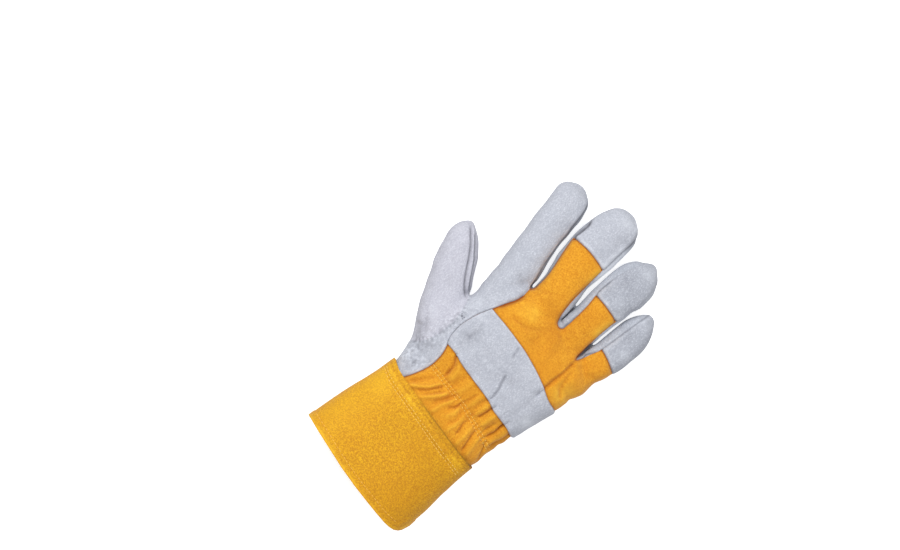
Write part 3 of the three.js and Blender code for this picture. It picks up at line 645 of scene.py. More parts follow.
# painted light on sides that face right
crease -= facing_right * sum(pale * around(hand_points, x, y, reach) for x, y, reach, pale in PAINTED_LIGHT_SIDES)
crumpled = np.clip(sum(around(hand_points, *place) for place in CRUMPLED), 0, 1)
height += above * crumpled * (0.42 * lumps(hand_points, 2.1, 70) + 0.32 * lumps(hand_points, 3.8, 71))
crease += above * crumpled * 0.36 * lumps(hand_points, 1.6, 72)
for facing, places in ((-1, LEFT_SIDES), (1, RIGHT_SIDES)):
    further = sum(out * around(hand_points, x, y, reach) for x, y, reach, out in places)
    height += np.maximum(facing * hand_out[:, 0], 0) * further
facing_up_or_down = ease(np.abs(hand_out[:, 2]), 0.15, 0.55)
height += facing_up_or_down * (0.45 * lumps(hand_points, 13, 3) + 0.2 * lumps(hand_points, 5.5, 8))
print("deepest fold %.1f mm, highest ridge %.1f mm" % (height.min(), height.max()))


# %% [markdown]
# The elastic behind the cloth is sewn down with two rows of stitches. Between them the cloth stands up in
# small puckers, about three millimetres from one to the next.

# %% Gather the wrist
def elastic_row(x):
    """Where the upper row of the elastic's stitches runs."""
    return -25.6 - 0.15 * np.maximum(0, x - 28)


ROW_APART = 2.6  # from the upper row to the lower one
x, y = hand_points[:, 0], hand_points[:, 1]
on_back = above * ease(inside(hand_points, np.vstack([BACK_SEAM, [(120, -60), (120, 54)]])), -0.5, 1.5)
middle_row = elastic_row(x) - ROW_APART / 2
wander = 1.2 * lumps(hand_points, 9, 21)
pucker = np.cos(2 * np.pi * (x + wander) / 3.3)
height += on_back * 0.4 * pucker * np.exp(-((y - middle_row) / 3.4) ** 2)
# the puckers' tops get painted highlights, and the hollows between them painted shade
crease -= on_back * 0.13 * pucker * np.exp(-((y - middle_row) / 2.8) ** 2)
# each row of stitches is a groove with painted shade along it
for row in (elastic_row(x), elastic_row(x) - ROW_APART):
    height -= on_back * 0.55 * np.exp(-((y - row) / 0.6) ** 2)
    crease += on_back * 0.14 * np.exp(-((y - row) / 0.5) ** 2)
print("elastic rows at y %.1f and %.1f mm" % (elastic_row(0), elastic_row(0) - ROW_APART))

# %% [markdown]
# Along a seam both edges turn in, so the leather dips to a narrow groove with a soft shoulder on each side.
# The groove is pushed into the skin before the panels are cut, so the two sides always match.

# %% Sink the seams
GROOVE = 1.1  # from the middle of a seam's groove to its side
# (y, reach, how far out): where the side along the little-finger seam swells, or is drawn in
SIDE_SWELLS = [(44, 6, 1.9), (34.6, 2.2, -0.8), (20, 2, -0.5), (56, 3, -0.5), (64, 4, 0.4), (-8, 4, 0.5),
               (-24.6, 2.4, -0.7)]


def sew(points, line, deep, where, dark=0.7, width=GROOVE):
    """Height of a seam's groove, and the painted shade in it."""
    off = to_line(points, line)[0]
    groove = -deep * np.exp(-(off / width) ** 2) + 0.3 * deep * np.exp(-((off - 2.8) / 1.3) ** 2)
    return where * groove, where * dark * np.exp(-(off / 0.6) ** 2)


def out_of_sight(x, y):
    """1 where the ring fingertip's side seams are turned under, so that they don't show from above, and less
    along the little finger's."""
    ring = (x > 19) * (x < 34) * ease(y, 107, 114) + (x >= 34) * (x < 51) * ease(y, 93, 101)
    return ring + 0.4 * (x > 52) * (y > 70)


seen = 1 - 0.9 * out_of_sight(*hand_points[:, :2].T)
in_strip = np.max([inside(hand_points, fork) for fork in above_forks.values()], axis=0)
# (line, depth, where, how dark): the darkness is painted shade in the seam's groove
seams = [(softened(BACK_SEAM), 1.3, above, 0.95), (softened(THUMB_SEAM), 0.8, below, 0.4),
         (softened(THUMB_SEAM), 0.22, above, 0.06), (softened(FRONT_SEAM), 1.0, below, 0.5)]
seams += [(fork, 0.8, below, 0.45) for fork in forks.values()]
seams += [(fork, 0.8, seen * ease(hand_out[:, 2], 0.02, 0.2), 0.75) for fork in above_forks.values()]
seams += [(line, 1.1, above, 0.95) for line in tip_lines.values()]
for line, deep, where, dark in seams:
    if any(line is tip for tip in tip_lines.values()):
        where = where * (in_strip < 0)
    dip, shade = sew(hand_points, line, deep, where, dark)
    height, crease = height + dip, crease + shade
off, along, _ = to_line(hand_points, softened(THUMB_SEAM))
# puckers along the thumb seam: painted highlights on their crests, painted shade between them
puckered = above * np.exp(-(off / 1.7) ** 2) * ease(along, 14, 20) * np.cos(2 * np.pi * along / 3.2)
height, crease = height + 0.3 * puckered, crease - 0.2 * puckered * (0.75 + 0.8 * lumps(hand_points, 4, 75))
side_on = ease(hand_out[:, 0], 0.1, 0.4) * (x > 50)
strap_ring = softened(STRAP_OUTLINE + STRAP_OUTLINE[:1])
# painted shadow on the cloth along the strap's edge
crease += above * 0.6 * np.exp(-inside(hand_points, strap_ring) ** 2) * (hand_points[:, 0] > -17)
off = np.abs(hand_points[:, 2] - level)
y = hand_points[:, 1]
for place, reach, out in SIDE_SWELLS:
    height += side_on * out * np.exp(-((y - place) / reach) ** 2)
height -= side_on * 0.9 * np.exp(-(off / GROOVE) ** 2)
# painted shade in the groove of the little-finger seam
crease += side_on * 0.5 * np.exp(-(off / 0.75) ** 2)
print("seams sunk:", len(seams) + 1)


# %% Lay the hand on the table
REST = 0.5  # the palm's leather rests on its stitches


def rest_on_table(points, soft=0.8):
    """What would go through the table is flattened on it."""
    z = points[:, 2]
    points = points.copy()
    points[:, 2] = REST + soft * np.logaddexp(0, (z - REST) / soft)
    return points


def meet_the_cuff(points):
    """The wrist's end widens inside the cuff until it meets the cuff's inner wall, where the two are sewn."""
    x, y, z = points.T
    rows = np.array(CUFF_ROWS, float)
    left, right, low, top = [np.interp(y, rows[:, 0], rows[:, k]) for k in (1, 2, 3, 4)]
    middle_x, middle_z = (left + right) / 2, (low + top) / 2
    reach_x, reach_z = (right - left) / 2 - CUFF_THICK, (top - low) / 2 - CUFF_THICK
    size = (np.abs((x - middle_x) / reach_x) ** CUFF_SQUARENESS
            + np.abs((z - middle_z) / reach_z) ** CUFF_SQUARENESS) ** (1 / CUFF_SQUARENESS)
    from_z = 12 - 3 * ease(x, 40, 52)
    share = ease(-y, 50, 55.5) * ease(z, from_z, from_z + 5)
    points = points.copy()
    points[:, 0] += share * (middle_x + (x - middle_x) / size - x)
    points[:, 2] += share * (middle_z + (z - middle_z) / size - z)
    return points


hand_points = meet_the_cuff(rest_on_table(hand_points + hand_out * height[:, None]))
hand_out = face_normals(hand_points, hand_quads)
crease = np.clip(crease, -1, 1)
print("hand spans", hand_points.min(0).round(1), "to", hand_points.max(0).round(1))

# %% [markdown]
# ## Cut the panels
# The skin is now cut like leather with a knife: along each pattern line its triangles are split, so an
# edge is clean however coarse the mesh is. Each panel then gets its thickness on the inside. A Boolean could
# cut the panels too, but it needs a solid for every knife, and here a line is enough.


# %% A knife for meshes
class Panel:
    """A sheet of leather or cloth: points, outward directions, painted shade, light and wear, and triangles.
    """

    def __init__(self, points, out, crease, triangles):
        self.data = np.column_stack([points, out, crease])
        self.triangles = triangles

    points = property(lambda self: self.data[:, :3])
    out = property(lambda self: self.data[:, 3:6])
    crease = property(lambda self: self.data[:, 6])


def tidy(data, triangles):
    """A panel without the points that no triangle uses."""
    a, b, c = triangles.T
    triangles = triangles[(a != b) & (b != c) & (c != a)]
    used = np.unique(triangles)
    number = np.full(len(data), -1)
    number[used] = np.arange(len(used))
    data = data[used]
    directions = data[:, 3:6]
    data[:, 3:6] = directions / np.maximum(np.linalg.norm(directions, axis=1), 1e-9)[:, None]
    return Panel(data[:, :3], data[:, 3:6], data[:, 6], number[triangles])


SLIVER = 0.12  # a cut this near to a point, as a share of the edge, goes through the point


def keep_where(panel, value):
    """The part of a panel where value is above zero."""
    value = np.where(np.abs(value) < 1e-6, -1e-6, value)
    up = value[panel.triangles] > 0
    count = up.sum(1)
    mixed = (count == 1) | (count == 2)
    triangles, up_here = panel.triangles[mixed], up[mixed]
    lone = count[mixed] == 1
    first = np.where(lone, up_here.argmax(1), (~up_here).argmax(1))
    a, b, c = np.take_along_axis(triangles, (first[:, None] + np.arange(3)) % 3, 1).T
    pairs = np.vstack([np.stack([a, b], 1), np.stack([a, c], 1)])
    kept_first = value[pairs[:, 0]] > 0
    pairs = np.where(kept_first[:, None], pairs, pairs[:, ::-1])
    edges, which = np.unique(pairs, axis=0, return_inverse=True)
    which = which.reshape(-1)
    share = value[edges[:, 0]] / (value[edges[:, 0]] - value[edges[:, 1]])
    new = panel.data[edges[:, 0]] * (1 - share)[:, None] + panel.data[edges[:, 1]] * share[:, None]
    number = np.where(share < SLIVER, edges[:, 0], len(panel.data) + np.arange(len(edges)))[which]
    ab, ac = number[: len(a)], number[len(a):]
    two = ~lone
    triangles = np.vstack([
        panel.triangles[count == 3],
        np.stack([a, ab, ac], 1)[lone],
        np.stack([ab, b, c], 1)[two],
        np.stack([ab, c, ac], 1)[two],
    ])
    return tidy(np.vstack([panel.data, new]), triangles)


def cut_out(panel, value):
    """A panel and what is left of the skin round it."""
    return keep_where(panel, value), keep_where(panel, -value)


def triangles_of(quads):
    """Each four-sided cell as two triangles."""
    return np.vstack([quads[:, [0, 1, 2]], quads[:, [0, 2, 3]]])


corners = np.array([[0, 0, 0], [1, 0, 0], [1, 1, 0], [0, 1, 0]], float)
square = Panel(corners, corners, np.zeros(4), triangles_of(np.arange(4)[None]))
half = keep_where(square, corners[:, 0] - 0.5)
print("half of a square of two triangles:", len(half.triangles), "triangles")

# %% Cut the hand into its panels
TUCKED_TO = -57      # the wrist reaches this far down inside the cuff
PALM_END = -48.2     # where the palm's edge lies at the wrist
PALM_UP_TO = 17      # below this height the wrist's skin ends at the palm's edge
LOWER_AT_SLIT = 4.4  # and this much lower at the cuff's slit
WEB_LIFT = 5         # the cloth's edge at the web beside the little finger is this much higher
# a line between the index and middle fingers
BESIDE_INDEX = [(-26, 200), (-26, 130), (-23, 115), (-19.5, 100), (-12, 80)]
skin = Panel(hand_points, hand_out, crease, triangles_of(hand_quads))
skin = keep_where(skin, skin.points[:, 1] - TUCKED_TO)
skin_end = PALM_UP_TO - LOWER_AT_SLIT * ease(skin.points[:, 0], 46, 52)
under_cuff = np.minimum(skin_end - skin.points[:, 2], PALM_END - skin.points[:, 1])
skin = keep_where(skin, -under_cuff)

panels = {}
thumb_side = np.vstack([softened(THUMB_SEAM), [(-120, -33), (-120, 90), (-60, 90)]])
panels["thumb"], skin = cut_out(skin, inside(skin.points, thumb_side))
for (before, after), fork in forks.items():
    here = np.where(skin.points[:, 2] > parting(skin.points), inside(skin.points, above_forks[before, after]),
                    inside(skin.points, fork))
    panels[f"{before}_{after}_fourchette"], skin = cut_out(skin, here)
back_side = np.vstack([softened(BACK_SEAM), [(120, -60), (120, 200)], BESIDE_INDEX])
x, y, z = skin.points.T
web_side = WEB_LIFT * np.exp(-((x - 54) / 3) ** 2) * ease(y, 52, 58) * (1 - ease(y, 88, 98))
over = np.minimum(inside(skin.points, back_side), z - parting(skin.points) - web_side)
back, skin = cut_out(skin, over)
LIMITS = {"middle": (-60, 19), "ring": (19, 50.5), "little": (50.5, 120)}
for finger, line in tip_lines.items():
    p = back.points
    past = p[:, 1] - np.interp(p[:, 0], line[:, 0], line[:, 1])
    low, high = LIMITS[finger]
    panels[finger + "_tip"], back = cut_out(back, np.minimum(past, np.minimum(p[:, 0] - low, high - p[:, 0])))
panels["back"] = back
front_side = np.vstack([softened(FRONT_SEAM), [(50.8, 200)], BESIDE_INDEX])
panels["middle_ring_front"], panels["palm"] = cut_out(skin, inside(skin.points, front_side))
for name, panel in panels.items():
    print(name, len(panel.triangles), "triangles")

# %% [markdown]
# ## Thickness
# The outer face, a copy moved inwards along its own directions, and a rim that joins their open edges make
# a closed sheet. Blender's Solidify modifier does the same, but here the directions come from the whole
# skin, so two panels that meet still meet after they get thick.

# %% Make a panel thick
LEATHER_THICK = 1.4
DRILL_THICK = 1.0
SHARP = math.radians(48)  # a rim that turns by more than this keeps a clear edge


def open_edges(triangles):
    """Edges that only one triangle uses, in that triangle's direction."""
    edges = np.vstack([triangles[:, [0, 1]], triangles[:, [1, 2]], triangles[:, [2, 0]]])
    key = np.sort(edges, 1)
    _, which, count = np.unique(key, axis=0, return_inverse=True, return_counts=True)
    return edges[count[which.reshape(-1)] == 1]


def thick_mesh(name, panel, thick, lift=None):
    """A closed sheet. Faces of its inner side use the second material slot where there is one."""
    outer = panel.points if lift is None else panel.points + panel.out * lift[:, None]
    inner = panel.points - panel.out * thick
    n = len(outer)
    rim = open_edges(panel.triangles)
    a, b = rim.T
    faces = np.vstack([panel.triangles, panel.triangles[:, ::-1] + n,
                       np.stack([b, a, a + n], 1), np.stack([b, a + n, b + n], 1)])
    mesh = blender_mesh(name, np.vstack([outer, inner]) * MM, faces)
    mesh.shade_smooth()
    mesh.set_sharp_from_angle(angle=SHARP)
    mesh.attributes.new("crease", "FLOAT", "POINT").data.foreach_set(
        "value", np.tile(panel.crease, 2).astype(np.float32))
    mesh["inside_from"] = len(panel.triangles)
    mesh["inside_to"] = 2 * len(panel.triangles)
    piece = bpy.data.objects.new(name, mesh)
    bpy.context.collection.objects.link(piece)
    return piece


print("leather %.1f mm thick, drill %.1f mm" % (LEATHER_THICK, DRILL_THICK))

# %% [markdown]
# ## Suede, drill and canvas
# Split leather has no grain side. It is brushed fibres: matt, cool grey, with darker and lighter patches
# where the nap lies another way. Cotton drill is a twill, whose threads step over each other in fine
# slanting ribs. The cuff's canvas has a plain weave under a rubbery coat. Photographs of them could be laid
# on, but noise and waves have no edge and stay sharp from near by. Each pattern is a node group that is built
# once and used with other values in each material.

# %% Helpers for node groups
def put(tree, kind, inputs=None, **settings):
    """Adds a node, sets its options, and sets or links its inputs."""
    node = tree.nodes.new(kind)
    for key, value in settings.items():
        setattr(node, key, value)
    for key, value in (inputs or {}).items():
        socket = node.inputs[key]
        if isinstance(value, bpy.types.NodeSocket):
            tree.links.new(value, socket)
        else:
            socket.default_value = value
    return node


def sum_of(tree, operation, a, b):
    """What a Math node makes of two values."""
    return put(tree, "ShaderNodeMath", {0: a, 1: b}, operation=operation).outputs[0]


def blend_colours(tree, share, a, b, how="MIX"):
    """Colour a going over into colour b by a share."""
    node = put(tree, "ShaderNodeMix", data_type="RGBA", blend_type=how)
    for socket, value in zip([node.inputs[i] for i in (0, 6, 7)], (share, a, b)):
        if isinstance(value, bpy.types.NodeSocket):
            tree.links.new(value, socket)
        else:
            socket.default_value = value
    return node.outputs[2]


def new_group(name, inputs, outputs):
    """An empty node group with named inputs and outputs."""
    group = bpy.data.node_groups.new(name, "ShaderNodeTree")
    for label, kind, value in inputs:
        socket = group.interface.new_socket(label, in_out="INPUT", socket_type=kind)
        if value is not None:
            socket.default_value = value
    for label, kind in outputs:
        group.interface.new_socket(label, in_out="OUTPUT", socket_type=kind)
    return group, group.nodes.new("NodeGroupInput").outputs, group.nodes.new("NodeGroupOutput").inputs


def noise(tree, vector, scale, detail=3.0, rough=0.55):
    """A noise texture's value, with its scale in lumps per metre."""
    return put(tree, "ShaderNodeTexNoise", {"Vector": vector, "Scale": scale, "Detail": detail,
                                            "Roughness": rough}).outputs[0]


# %% The nap of split leather
FLOAT, VECTOR, COLOUR = "NodeSocketFloat", "NodeSocketVector", "NodeSocketColor"
nap, nap_in, nap_out = new_group(
    "suede nap", [("Place", VECTOR, None), ("Fibre size", FLOAT, 1400.0), ("Patch size", FLOAT, 110.0)],
    [("Patches", FLOAT), ("Clouds", FLOAT), ("Grain", FLOAT), ("Fibres", FLOAT), ("Height", FLOAT)])
stretched = put(nap, "ShaderNodeMapping", {"Vector": nap_in["Place"], "Rotation": (0, 0, 0.5),
                                           "Scale": (1.0, 0.55, 1.0)}).outputs[0]
patches = noise(nap, nap_in["Place"], nap_in["Patch size"], 4.0, 0.6)
fibres = noise(nap, stretched, nap_in["Fibre size"], 4.0, 0.7)
middling = noise(nap, stretched, sum_of(nap, "MULTIPLY", nap_in["Fibre size"], 0.25), 3.0, 0.6)
clouds = noise(nap, stretched, sum_of(nap, "MULTIPLY", nap_in["Patch size"], 4.2), 3.0, 0.6)
grain = noise(nap, stretched, sum_of(nap, "MULTIPLY", nap_in["Fibre size"], 0.8), 2.0, 0.5)
nap.links.new(grain, nap_out["Grain"])
nap.links.new(patches, nap_out["Patches"])
nap.links.new(clouds, nap_out["Clouds"])
nap.links.new(fibres, nap_out["Fibres"])
nap.links.new(sum_of(nap, "ADD", sum_of(nap, "MULTIPLY", fibres, 0.6), middling), nap_out["Height"])
print("node group:", nap.name)

# %% The ribs of a twill
WAVE = 0.314  # a wave texture of this scale repeats once in a metre


def bands(tree, place, per_metre, way, looks, times=1.0):
    """Straight bands across one direction, so many in a metre."""
    scale = sum_of(tree, "MULTIPLY", per_metre, times * WAVE)
    return put(tree, "ShaderNodeTexWave", {"Vector": place, "Scale": scale, **looks},
               wave_type="BANDS", bands_direction=way).outputs["Fac"]


twill, twill_in, twill_out = new_group(
    "drill twill", [("Place", VECTOR, None), ("Ribs per metre", FLOAT, 870.0)],
    [("Shade", FLOAT), ("Height", FLOAT)])
turned = put(twill, "ShaderNodeMapping", {"Vector": twill_in["Place"], "Rotation": (0.7, 0.5, -0.62)})
turned = turned.outputs[0]
ribs = bands(twill, turned, twill_in["Ribs per metre"], "X",
             {"Distortion": 1.2, "Detail": 2.0, "Detail Scale": 1.5})
steps = bands(twill, turned, twill_in["Ribs per metre"], "Y", {"Distortion": 1.0}, times=1.8)
slub = noise(twill, twill_in["Place"], 420.0, 3.0, 0.6)
shade = sum_of(twill, "ADD", sum_of(twill, "MULTIPLY", ribs, 0.6), sum_of(twill, "MULTIPLY", slub, 0.4))
twill.links.new(shade, twill_out["Shade"])
twill.links.new(sum_of(twill, "ADD", ribs, sum_of(twill, "MULTIPLY", steps, 0.45)), twill_out["Height"])
print("node group:", twill.name)

# %% The plain weave of canvas
weave, weave_in, weave_out = new_group(
    "canvas weave", [("Place", VECTOR, None), ("Threads per metre", FLOAT, 1100.0)],
    [("Shade", FLOAT), ("Height", FLOAT)])
threads = weave_in["Threads per metre"]
waves = [bands(weave, weave_in["Place"], threads, way, {"Distortion": 0.6, "Detail": 1.0}) for way in "XYZ"]
grid = sum_of(weave, "MULTIPLY", sum_of(weave, "MAXIMUM", waves[0], waves[2]), waves[1])
fuzz = noise(weave, weave_in["Place"], 900.0, 3.0, 0.6)
shade = sum_of(weave, "ADD", sum_of(weave, "MULTIPLY", grid, 0.35), sum_of(weave, "MULTIPLY", fuzz, 0.65))
weave.links.new(shade, weave_out["Shade"])
weave.links.new(sum_of(weave, "ADD", grid, fuzz), weave_out["Height"])
print("node group:", weave.name)

# %% [markdown]
# Every material is also painted darker in its folds and seams, as shade where light doesn't reach. The mesh
# keeps a number for each point: above zero it is painted shade, and dirt in a few patches; below zero it is a
# painted highlight on ridges, edges and sides, and wear. One group turns it into a colour.

# %% Painted shade in the creases, painted highlights and wear on edges and ridges
deep, deep_in, deep_out = new_group(
    "crease shade",
    [("Colour", COLOUR, None), ("Crease colour", COLOUR, None), ("Highlight and wear colour", COLOUR, None),
     ("Crease", FLOAT, 0.0), ("Amount", FLOAT, 1.0)],
    [("Colour", COLOUR)])
amount = put(deep, "ShaderNodeMath", {0: deep_in["Crease"], 1: deep_in["Amount"]}, operation="MULTIPLY",
             use_clamp=True).outputs[0]
highlight_and_wear = put(deep, "ShaderNodeMath", {0: deep_in["Crease"], 1: -1.0}, operation="MULTIPLY",
             use_clamp=True).outputs[0]
creased = blend_colours(deep, amount, deep_in["Colour"], deep_in["Crease colour"])
deep.links.new(blend_colours(deep, highlight_and_wear, creased, deep_in["Highlight and wear colour"]), deep_out["Colour"])
print("node group:", deep.name)


# %% Colours
def srgb(red, green, blue):
    """A colour read as 0 to 255, as Blender's linear colour."""
    shares = [c / 255 for c in (red, green, blue)]
    return tuple(c / 12.92 if c <= 10 / 255 else ((c + 0.055) / 1.055) ** 2.4 for c in shares) + (1.0,)


# the suede's colour in painted shade and dirt, and its pale colour for painted highlights, wear and pale
# grain
SUEDE_FOLD, SUEDE_PALE = srgb(74, 74, 84), srgb(232, 236, 244)
print("suede in a fold, as linear red, green and blue:", [round(c, 3) for c in SUEDE_FOLD[:3]])


# %% The parts of a material
def used(tree, group, inputs):
    """Places a node group in a material with its own values."""
    node = tree.nodes.new("ShaderNodeGroup")
    node.node_tree = group
    for key, value in inputs.items():
        if isinstance(value, bpy.types.NodeSocket):
            tree.links.new(value, node.inputs[key])
        else:
            node.inputs[key].default_value = value
    return node.outputs


def new_material(name):
    """A material with a plain surface, the place on the piece, and its painted shade, light and wear there.
    """
    material = bpy.data.materials.new(name)
    material.use_nodes = True
    tree = material.node_tree
    tree.nodes.clear()
    end = tree.nodes.new("ShaderNodeOutputMaterial")
    surface = tree.nodes.new("ShaderNodeBsdfPrincipled")
    tree.links.new(surface.outputs[0], end.inputs["Surface"])
    place = tree.nodes.new("ShaderNodeTexCoord").outputs["Object"]
    crease_here = put(tree, "ShaderNodeAttribute", attribute_name="crease").outputs["Fac"]
    return material, tree, surface, place, crease_here


def stretch(tree, value, low, high):
    """Spreads the middle of a noise out to 0 to 1."""
    return put(tree, "ShaderNodeMapRange", {"Value": value, "From Min": low, "From Max": high}).outputs[0]


def painted_light_and_wear(tree, surface, body, crease_here, fold, highlight_and_wear, amount):
    """Gives a surface its body colour, darker with painted shade and dirt, paler with painted highlights and
    wear.
    """
    tone = used(tree, deep, {"Colour": body, "Crease colour": fold, "Highlight and wear colour": highlight_and_wear,
                             "Crease": crease_here, "Amount": amount})
    tree.links.new(tone["Colour"], surface.inputs["Base Color"])


def raised(tree, surface, height, strength, distance):
    """Gives a surface the fine relief of its fibres or threads."""
    bump = put(tree, "ShaderNodeBump", {"Strength": strength, "Distance": distance, "Height": height})
    tree.links.new(bump.outputs[0], surface.inputs["Normal"])


# %% Brushed leather
def suede(name, light, mid, dark):
    """Brushed leather: patches of nap, clouds, grain and fibres, from dark to pale, with painted shade and
    light.
    """
    material, tree, surface, place, crease_here = new_material(name)
    fuzz = used(tree, nap, {"Place": place, "Fibre size": 1500.0, "Patch size": 50.0})
    body = blend_colours(tree, stretch(tree, fuzz["Patches"], 0.25, 0.75), mid, light)
    body = blend_colours(tree, stretch(tree, fuzz["Clouds"], 0.84, 0.12), body, dark)
    body = blend_colours(tree, stretch(tree, fuzz["Grain"], 0.58, 0.3), body, dark)
    body = blend_colours(tree, stretch(tree, fuzz["Grain"], 0.46, 0.84), body, SUEDE_PALE)
    body = blend_colours(tree, stretch(tree, fuzz["Fibres"], 0.8, 0.3), body, dark)
    painted_light_and_wear(tree, surface, body, crease_here, SUEDE_FOLD, SUEDE_PALE, 0.85)
    raised(tree, surface, fuzz["Height"], 0.55, 0.0005)
    surface.inputs["Roughness"].default_value = 0.95
    surface.inputs["Specular IOR Level"].default_value = 0.12
    surface.inputs["Sheen Weight"].default_value = 0.1
    surface.inputs["Sheen Roughness"].default_value = 0.6
    return material


# lit and shaded copies of the grey suede: lighter for the thumb, darker for fourchettes and ring and little
# tips
grey_suede = suede("grey split suede", srgb(218, 219, 225), srgb(205, 206, 213), srgb(170, 173, 183))
lit_suede = suede("smoother thumb suede", srgb(228, 226, 233), srgb(214, 212, 220), srgb(178, 178, 189))
shaded_suede = suede("fourchette suede", srgb(206, 209, 216), srgb(194, 198, 206), srgb(164, 168, 178))
shaded_tip_suede = suede("fingertip suede", srgb(199, 202, 209), srgb(185, 188, 196), srgb(156, 159, 169))
print("leathers:", ", ".join(m.name for m in (grey_suede, lit_suede, shaded_suede, shaded_tip_suede)))


# %% Cotton drill
def drill(name, light, mid, dark, fold, highlight_and_wear):
    """Cotton twill with slanting ribs and an uneven dye."""
    material, tree, surface, place, crease_here = new_material(name)
    cloth = used(tree, twill, {"Place": place, "Ribs per metre": 1350.0})
    wash = noise(tree, place, 45.0, 3.0, 0.5)
    body = blend_colours(tree, stretch(tree, wash, 0.32, 0.68), mid, light)
    body = blend_colours(tree, stretch(tree, cloth["Shade"], 0.85, 0.1), body, dark)
    body = blend_colours(tree, stretch(tree, noise(tree, place, 900.0, 2.0, 0.5), 0.66, 0.32), body, dark)
    painted_light_and_wear(tree, surface, body, crease_here, fold, highlight_and_wear, 0.9)
    raised(tree, surface, cloth["Height"], 0.35, 0.0002)
    surface.inputs["Roughness"].default_value = 0.85
    surface.inputs["Specular IOR Level"].default_value = 0.2
    surface.inputs["Sheen Weight"].default_value = 0.15
    return material


# the last two colours: the drill in painted shade and dirt, and in painted highlights and wear
yellow_drill = drill("yellow cotton drill", srgb(248, 190, 54), srgb(234, 168, 42), srgb(203, 129, 26),
                     fold=srgb(148, 70, 8), highlight_and_wear=srgb(252, 204, 66))
print("cloth:", yellow_drill.name)


# %% Coated canvas
def canvas(name, light, mid, dark, fold, highlight_and_wear, rough=0.7):
    """Stiff cloth of a plain weave under a coat."""
    material, tree, surface, place, crease_here = new_material(name)
    cloth = used(tree, weave, {"Place": place, "Threads per metre": 1700.0})
    wash = noise(tree, place, 30.0, 3.0, 0.5)
    body = blend_colours(tree, stretch(tree, wash, 0.35, 0.65), mid, light)
    body = blend_colours(tree, stretch(tree, cloth["Shade"], 0.75, 0.1), body, dark)
    body = blend_colours(tree, stretch(tree, noise(tree, place, 950.0, 3.0, 0.65), 0.585, 0.405), body, dark)
    painted_light_and_wear(tree, surface, body, crease_here, fold, highlight_and_wear, 0.85)
    raised(tree, surface, cloth["Height"], 0.35, 0.0002)
    surface.inputs["Roughness"].default_value = rough
    surface.inputs["Specular IOR Level"].default_value = 0.3
    return material


# the last two colours: the canvas in painted shade and dirt, and in painted highlights and wear
yellow_canvas = canvas("yellow cuff canvas", srgb(248, 194, 24), srgb(238, 178, 16), srgb(190, 126, 8),
                       fold=srgb(116, 72, 10), highlight_and_wear=srgb(254, 206, 44))
# the inside of the cuff is coloured dark olive grey
dark_cuff_inside = canvas("dark rubber inside the cuff", srgb(58, 56, 46), srgb(50, 48, 40), srgb(40, 38, 32),
                     fold=srgb(20, 18, 14), highlight_and_wear=srgb(80, 78, 66), rough=0.6)
print("materials:", len(bpy.data.materials))


# %% [markdown]
# A panel is dressed when it has its material, moves with the glove's one body and stands for its solid in
# the frame. The cloth's edge in a seam gets painted shade, and the leather beside its edge a painted
# highlight, which is wear as well. Both could be painted on by hand, but the distance to the pattern's lines
# is known at every point, so it sets them.

# %% Dress a piece
def dress(piece, slot, node, *materials):
    """Gives a piece its materials and its body, and hides the solid that it stands for; slot is not used."""
    for material in materials:
        piece.data.materials.append(material)
    if len(materials) > 1 and "inside_from" in piece.data:
        which = np.zeros(len(piece.data.polygons), np.int32)
        which[piece.data["inside_from"]:piece.data["inside_to"]] = 1
        piece.data.polygons.foreach_set("material_index", which)
    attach(piece, "root")
    if node:
        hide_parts(node)
    return piece


print("solids to stand for:", len(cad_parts))

# %% Make the panels of the hand
CAPS = ("middle_tip", "ring_tip", "little_tip")
CAP_UP = 0.55  # how far a leather cap stands above the cloth
# the thumb takes the suede painted lighter, the ring and little tips the one painted darker
LEATHERS = {"thumb": lit_suede, "ring_tip": shaded_tip_suede, "little_tip": shaded_tip_suede}


def turned_edge(panel, line, up):
    """A leather cap stands a little above the cloth, with a rounded edge."""
    off = to_line(panel.points, line)[0]
    return up * (1 - np.exp(-off / 0.6)) * (0.35 + 0.65 * np.exp(-off / 9))


edge_lines = [softened(BACK_SEAM), *tip_lines.values(), *above_forks.values()]
for name, panel in panels.items():
    cloth = name == "back"
    lift = turned_edge(panel, tip_lines[name.split("_")[0]], CAP_UP) if name in CAPS else None
    upper = ease(panel.out[:, 2], 0.05, 0.3)
    edge = np.min([to_line(panel.points, line)[0] for line in edge_lines], axis=0)
    rim = np.zeros(len(panel.points), bool)
    rim[open_edges(panel.triangles)] = True
    # painted shadow on the cloth beside the back seam and painted shade on its cut edge; on leather a painted
    # highlight beside its seams, which is wear as well, and painted shade on its edge
    if cloth:
        shadow = 0.3 * np.exp(-(to_line(panel.points, softened(BACK_SEAM)[:22])[0] / 2.6) ** 2)
        panel.data[:, 6] = np.clip(panel.crease + upper * shadow, -1, 1)
        panel.data[rim, 6] = np.maximum(panel.crease[rim], 0.85)
    else:
        if "fourchette" in name:
            pale = 0.0
        elif name in CAPS:
            pale = 0.34 * np.exp(-((edge - 1.7) / 1.1) ** 2)
        else:
            pale = 0.5 * np.exp(-((edge - 1.2) / 0.6) ** 2)
        seen = 1 - 0.9 * out_of_sight(*panel.points[:, :2].T)
        panel.data[:, 6] -= upper * seen * pale * (0.7 + 0.6 * lumps(panel.points, 3, 60))
        by_edge = (0.1 + 0.35 * (edge[rim] < 1.5)) * seen[rim]
        panel.data[rim, 6] = np.maximum(panel.crease[rim], by_edge * upper[rim])
    leather = shaded_suede if "fourchette" in name else LEATHERS.get(name, grey_suede)
    if cloth:
        dress(thick_mesh(name + "_drill", panel, DRILL_THICK, lift), "cotton_drill", name, yellow_drill)
    else:
        dress(thick_mesh(name + "_leather", panel, LEATHER_THICK, lift), "split_leather", name, leather)
print("panels made:", len(panels))

